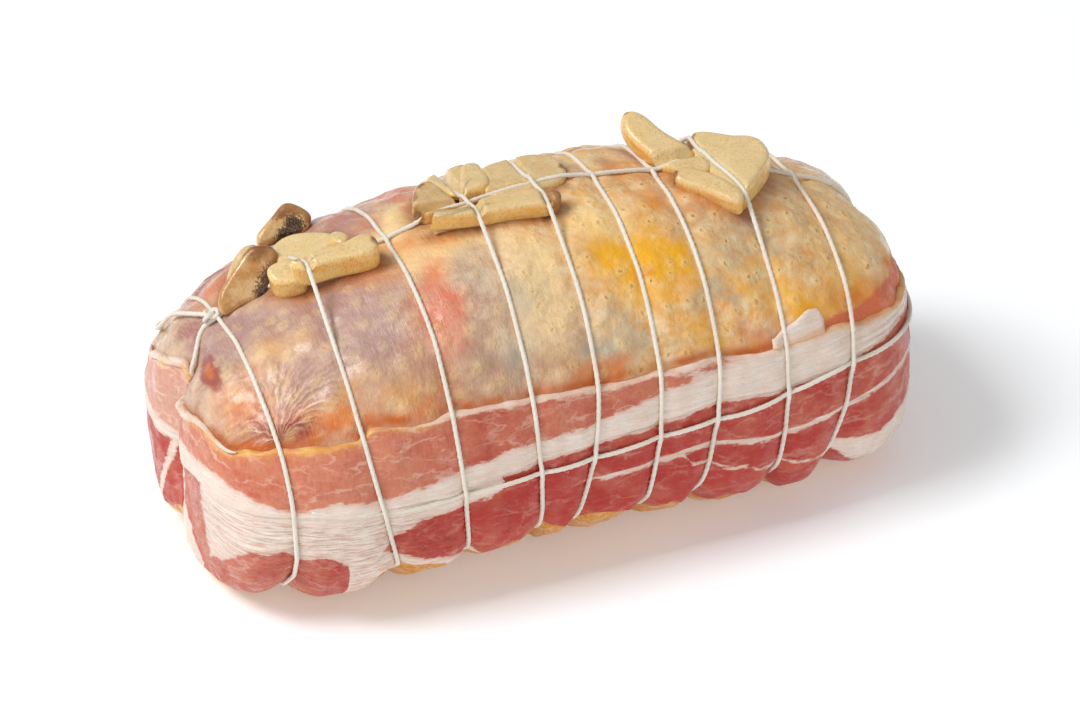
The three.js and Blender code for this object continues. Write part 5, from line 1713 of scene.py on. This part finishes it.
# %% [markdown]
# At the left end the fat along the top of the rashers has curled into a thick roll, and at the right
# a torn corner of fat stands up on the skin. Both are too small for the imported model. The roll is a
# tube of uneven thickness laid along the edge, and the corner is one more narrow sheet.

# %% Curled rims and the torn corner
RIM_SIDES = 18
RIM_LIFT, RIM_UNEVEN, RIM_LEAN = 0.7, 0.22, -2.5
RIMS = {  # girth places, heights over the rasher's edge, radii
    "fat_rim_front": (
        [236, 248, 258, 268, 276, 282, 287], [0, 0.3, 0.3, 0.6, 1, 0.6, 0],
        [0.3, 0.8, 1, 1.3, 1.7, 1.5, 0.4]),
    "fat_rim_back": (
        [288, 293, 300, 308, 316, 324], [0.5, 0.8, 1, 1, 0.6, 0], [0.4, 1.2, 1.5, 1.5, 1, 0.3]),
}


def lean_flap(s, z):
    """No lean anywhere."""
    return np.full(z.shape, NO_LEAN)


FLAP = dict(
    span=(74, 90), top=[(74, 58.5), (75.5, 61), (78, 61.2), (84, 59.3), (90, 57.2)],
    low=[(74, 55.5), (90, 55.5)], lift=1.3, lean=lean_flap)


def rim_sheet(places, over, radii, seed):
    """Rings of uneven size along the rasher's upper edge."""
    s = np.arange(places[0], places[-1], PATH_STEP)
    z = rasher_top(s) + np.interp(s, places, over)
    path = settle(skin_point(flank_point(s, z), np.full(s.shape, RIM_LIFT)), 3, False)
    along = np.gradient(path, axis=0)
    along /= np.linalg.norm(along, axis=1)[:, None]
    side = outward(path)
    rise = np.cross(along, side)
    turn = np.arange(RIM_SIDES)[None, :] / RIM_SIDES * 2 * math.pi
    uneven = 1 + RIM_UNEVEN * rough(flat_place(s[:, None], 6 * np.cos(turn)) + 3, 3.5, seed)
    size = np.interp(s, places, radii)[:, None] * uneven
    grid = path[:, None] + size[..., None] * (
        np.cos(turn)[..., None] * side[:, None] + np.sin(turn)[..., None] * rise[:, None])
    place = flat_place(s[:, None], z[:, None] + 2 * np.sin(turn))
    return grid, place


for name, rule in RIMS.items():
    grid, place = rim_sheet(*rule, seed=120)
    gold = np.clip(0.35 + 0.5 * rough(place, 5, 122), 0, 0.8)
    none = np.zeros(gold.shape)
    fields = {"place": place, "lean": none + RIM_LEAN, "tone": none, "gold": gold, "fibrous": none}
    points, faces, fields = with_poles(grid, fields)
    make_piece(name, points, faces, fields, rasher_material, "bard")

grid, place, lean = rasher_sheet("flap", FLAP)
fields = rasher_fields(place, lean, ([0, 1], [0, 0]))
make_piece("fat_flap", grid, [band_faces(*grid.shape[:2])], fields, rasher_material, "bard")

# %% [markdown]
# ## The mushrooms, finished
# Mushroom flesh is cream on its cut face, tan where it has dried, brown on the cap and nearly black
# in the gills. The cut sides are painted brighter than their tan, as painted light. It lets light in,
# so the material has more depth than the meat's.

# %% Material of the mushrooms
def make_mushroom_material():
    """Cream faces, tan cut sides painted brighter as painted light, brown skin on the cap and dark gills,
    all moist.
    """
    material, tree, shader = new_material("mushroom_flesh", 0.34, 0.35, (1.4, 1.0, 0.5))
    place = in_mm(tree)
    side, tone = field(tree, "side"), field(tree, "tone")
    patches = effect(tree, "blotches", place, Size=4.5)
    fine = effect(tree, "blotches", place, Size=1.0)
    cap = ease(tree, calc(tree, "ADD", field(tree, "cap"), line(tree, fine, 0.3, -0.15)), 0.25, 0.8)
    plates = ease(tree, grain(tree, stretch(tree, place, (2.6, 2.6, 0.45)), 1.0, 3.0), 0.38, 0.62)
    gill = ease(tree, calc(tree, "ADD", field(tree, "gill"), line(tree, plates, 0.7, -0.42)), 0.15, 0.6)
    colour = stains(
        tree, tint(tree, tone, "#f1d396", "#b9803f"), ("#f3dfb4", patches, 0.34),
        # The cut sides: tan, and painted brighter as painted light.
        (tint(tree, patches, "#ffd888", "#f6b85a"), side, line(tree, tone, -0.6, 0.9)),
        (tint(tree, patches, "#8f5b30", "#b98a52"), cap),
        (tint(tree, plates, "#26150b", "#7d6146"), gill))
    dress(tree, shader, {
        "Base Color": colour, "Roughness": wet_film(tree, place, 5.0, 0.36, 0.2)[1], "Coat Weight": 0.4,
        "Normal": bumps(
            tree, (grain(tree, place, 0.3, 1.0), 0.0004, 0.3), (times(tree, plates, gill), 0.0005, 0.7)),
    })
    return material


mushroom_material = make_mushroom_material()

# %% [markdown]
# A string pulled over a slice leaves a dent. Each point of a slice that lies above a string is
# pushed down to just under the string's middle, with a soft shoulder on both sides. The slices could
# be cut with the string instead, but that leaves a sharp edge which soft mushroom doesn't have.

# %% Dents and pieces
DENT_SHOULDER = 0.9
DENT_REACH, DENT_UNDER, DENT_SOFT = 4.5, 0.35, 0.4
TOP_ONLY = 70  # strings below this height lie on the flanks
PRESSED_BY = {
    "left_block": [turns[1]], "left_chunk": [turns[1]],
    "mid_slice_front": [turns[3], turns[4]], "mid_slice_upright": [turns[3], lengthwise],
    "mid_slice_back": [turns[4], lengthwise], "mid_cap_left": [lengthwise],
    "mid_slice_pale": [turns[3]], "right_stem": [lengthwise],
    "right_cap_back": [turns[7]],
}


def dented(name, grid):
    """The slice with its points above a string pressed down into a soft valley along it."""
    if name not in PRESSED_BY:
        return grid
    flat = grid.reshape(-1, 3)
    near = np.concatenate(PRESSED_BY[name])
    near = near[near[:, 2] > TOP_ONLY]
    gap = np.linalg.norm(flat[:, None, :2] - near[None, :, :2], axis=-1)
    closest = np.argmin(gap, axis=1)
    reach = gap[np.arange(len(flat)), closest]
    limit = near[closest, 2] - DENT_UNDER + np.square(reach) / DENT_SHOULDER
    over = np.clip((flat[:, 2] - limit) / DENT_SOFT, -30, 30)
    press = np.where(reach < DENT_REACH, np.log1p(np.exp(over)) * DENT_SOFT, 0)
    return (flat - press[:, None] * [0, 0, 1]).reshape(grid.shape)


for name, (grid, fields) in slices.items():
    points, faces, fields = with_poles(dented(name, grid), fields)
    node_name = f"mushroom_{name}"
    make_piece(f"{node_name}_slice", points, faces, fields, mushroom_material, "mushroom", node_name)
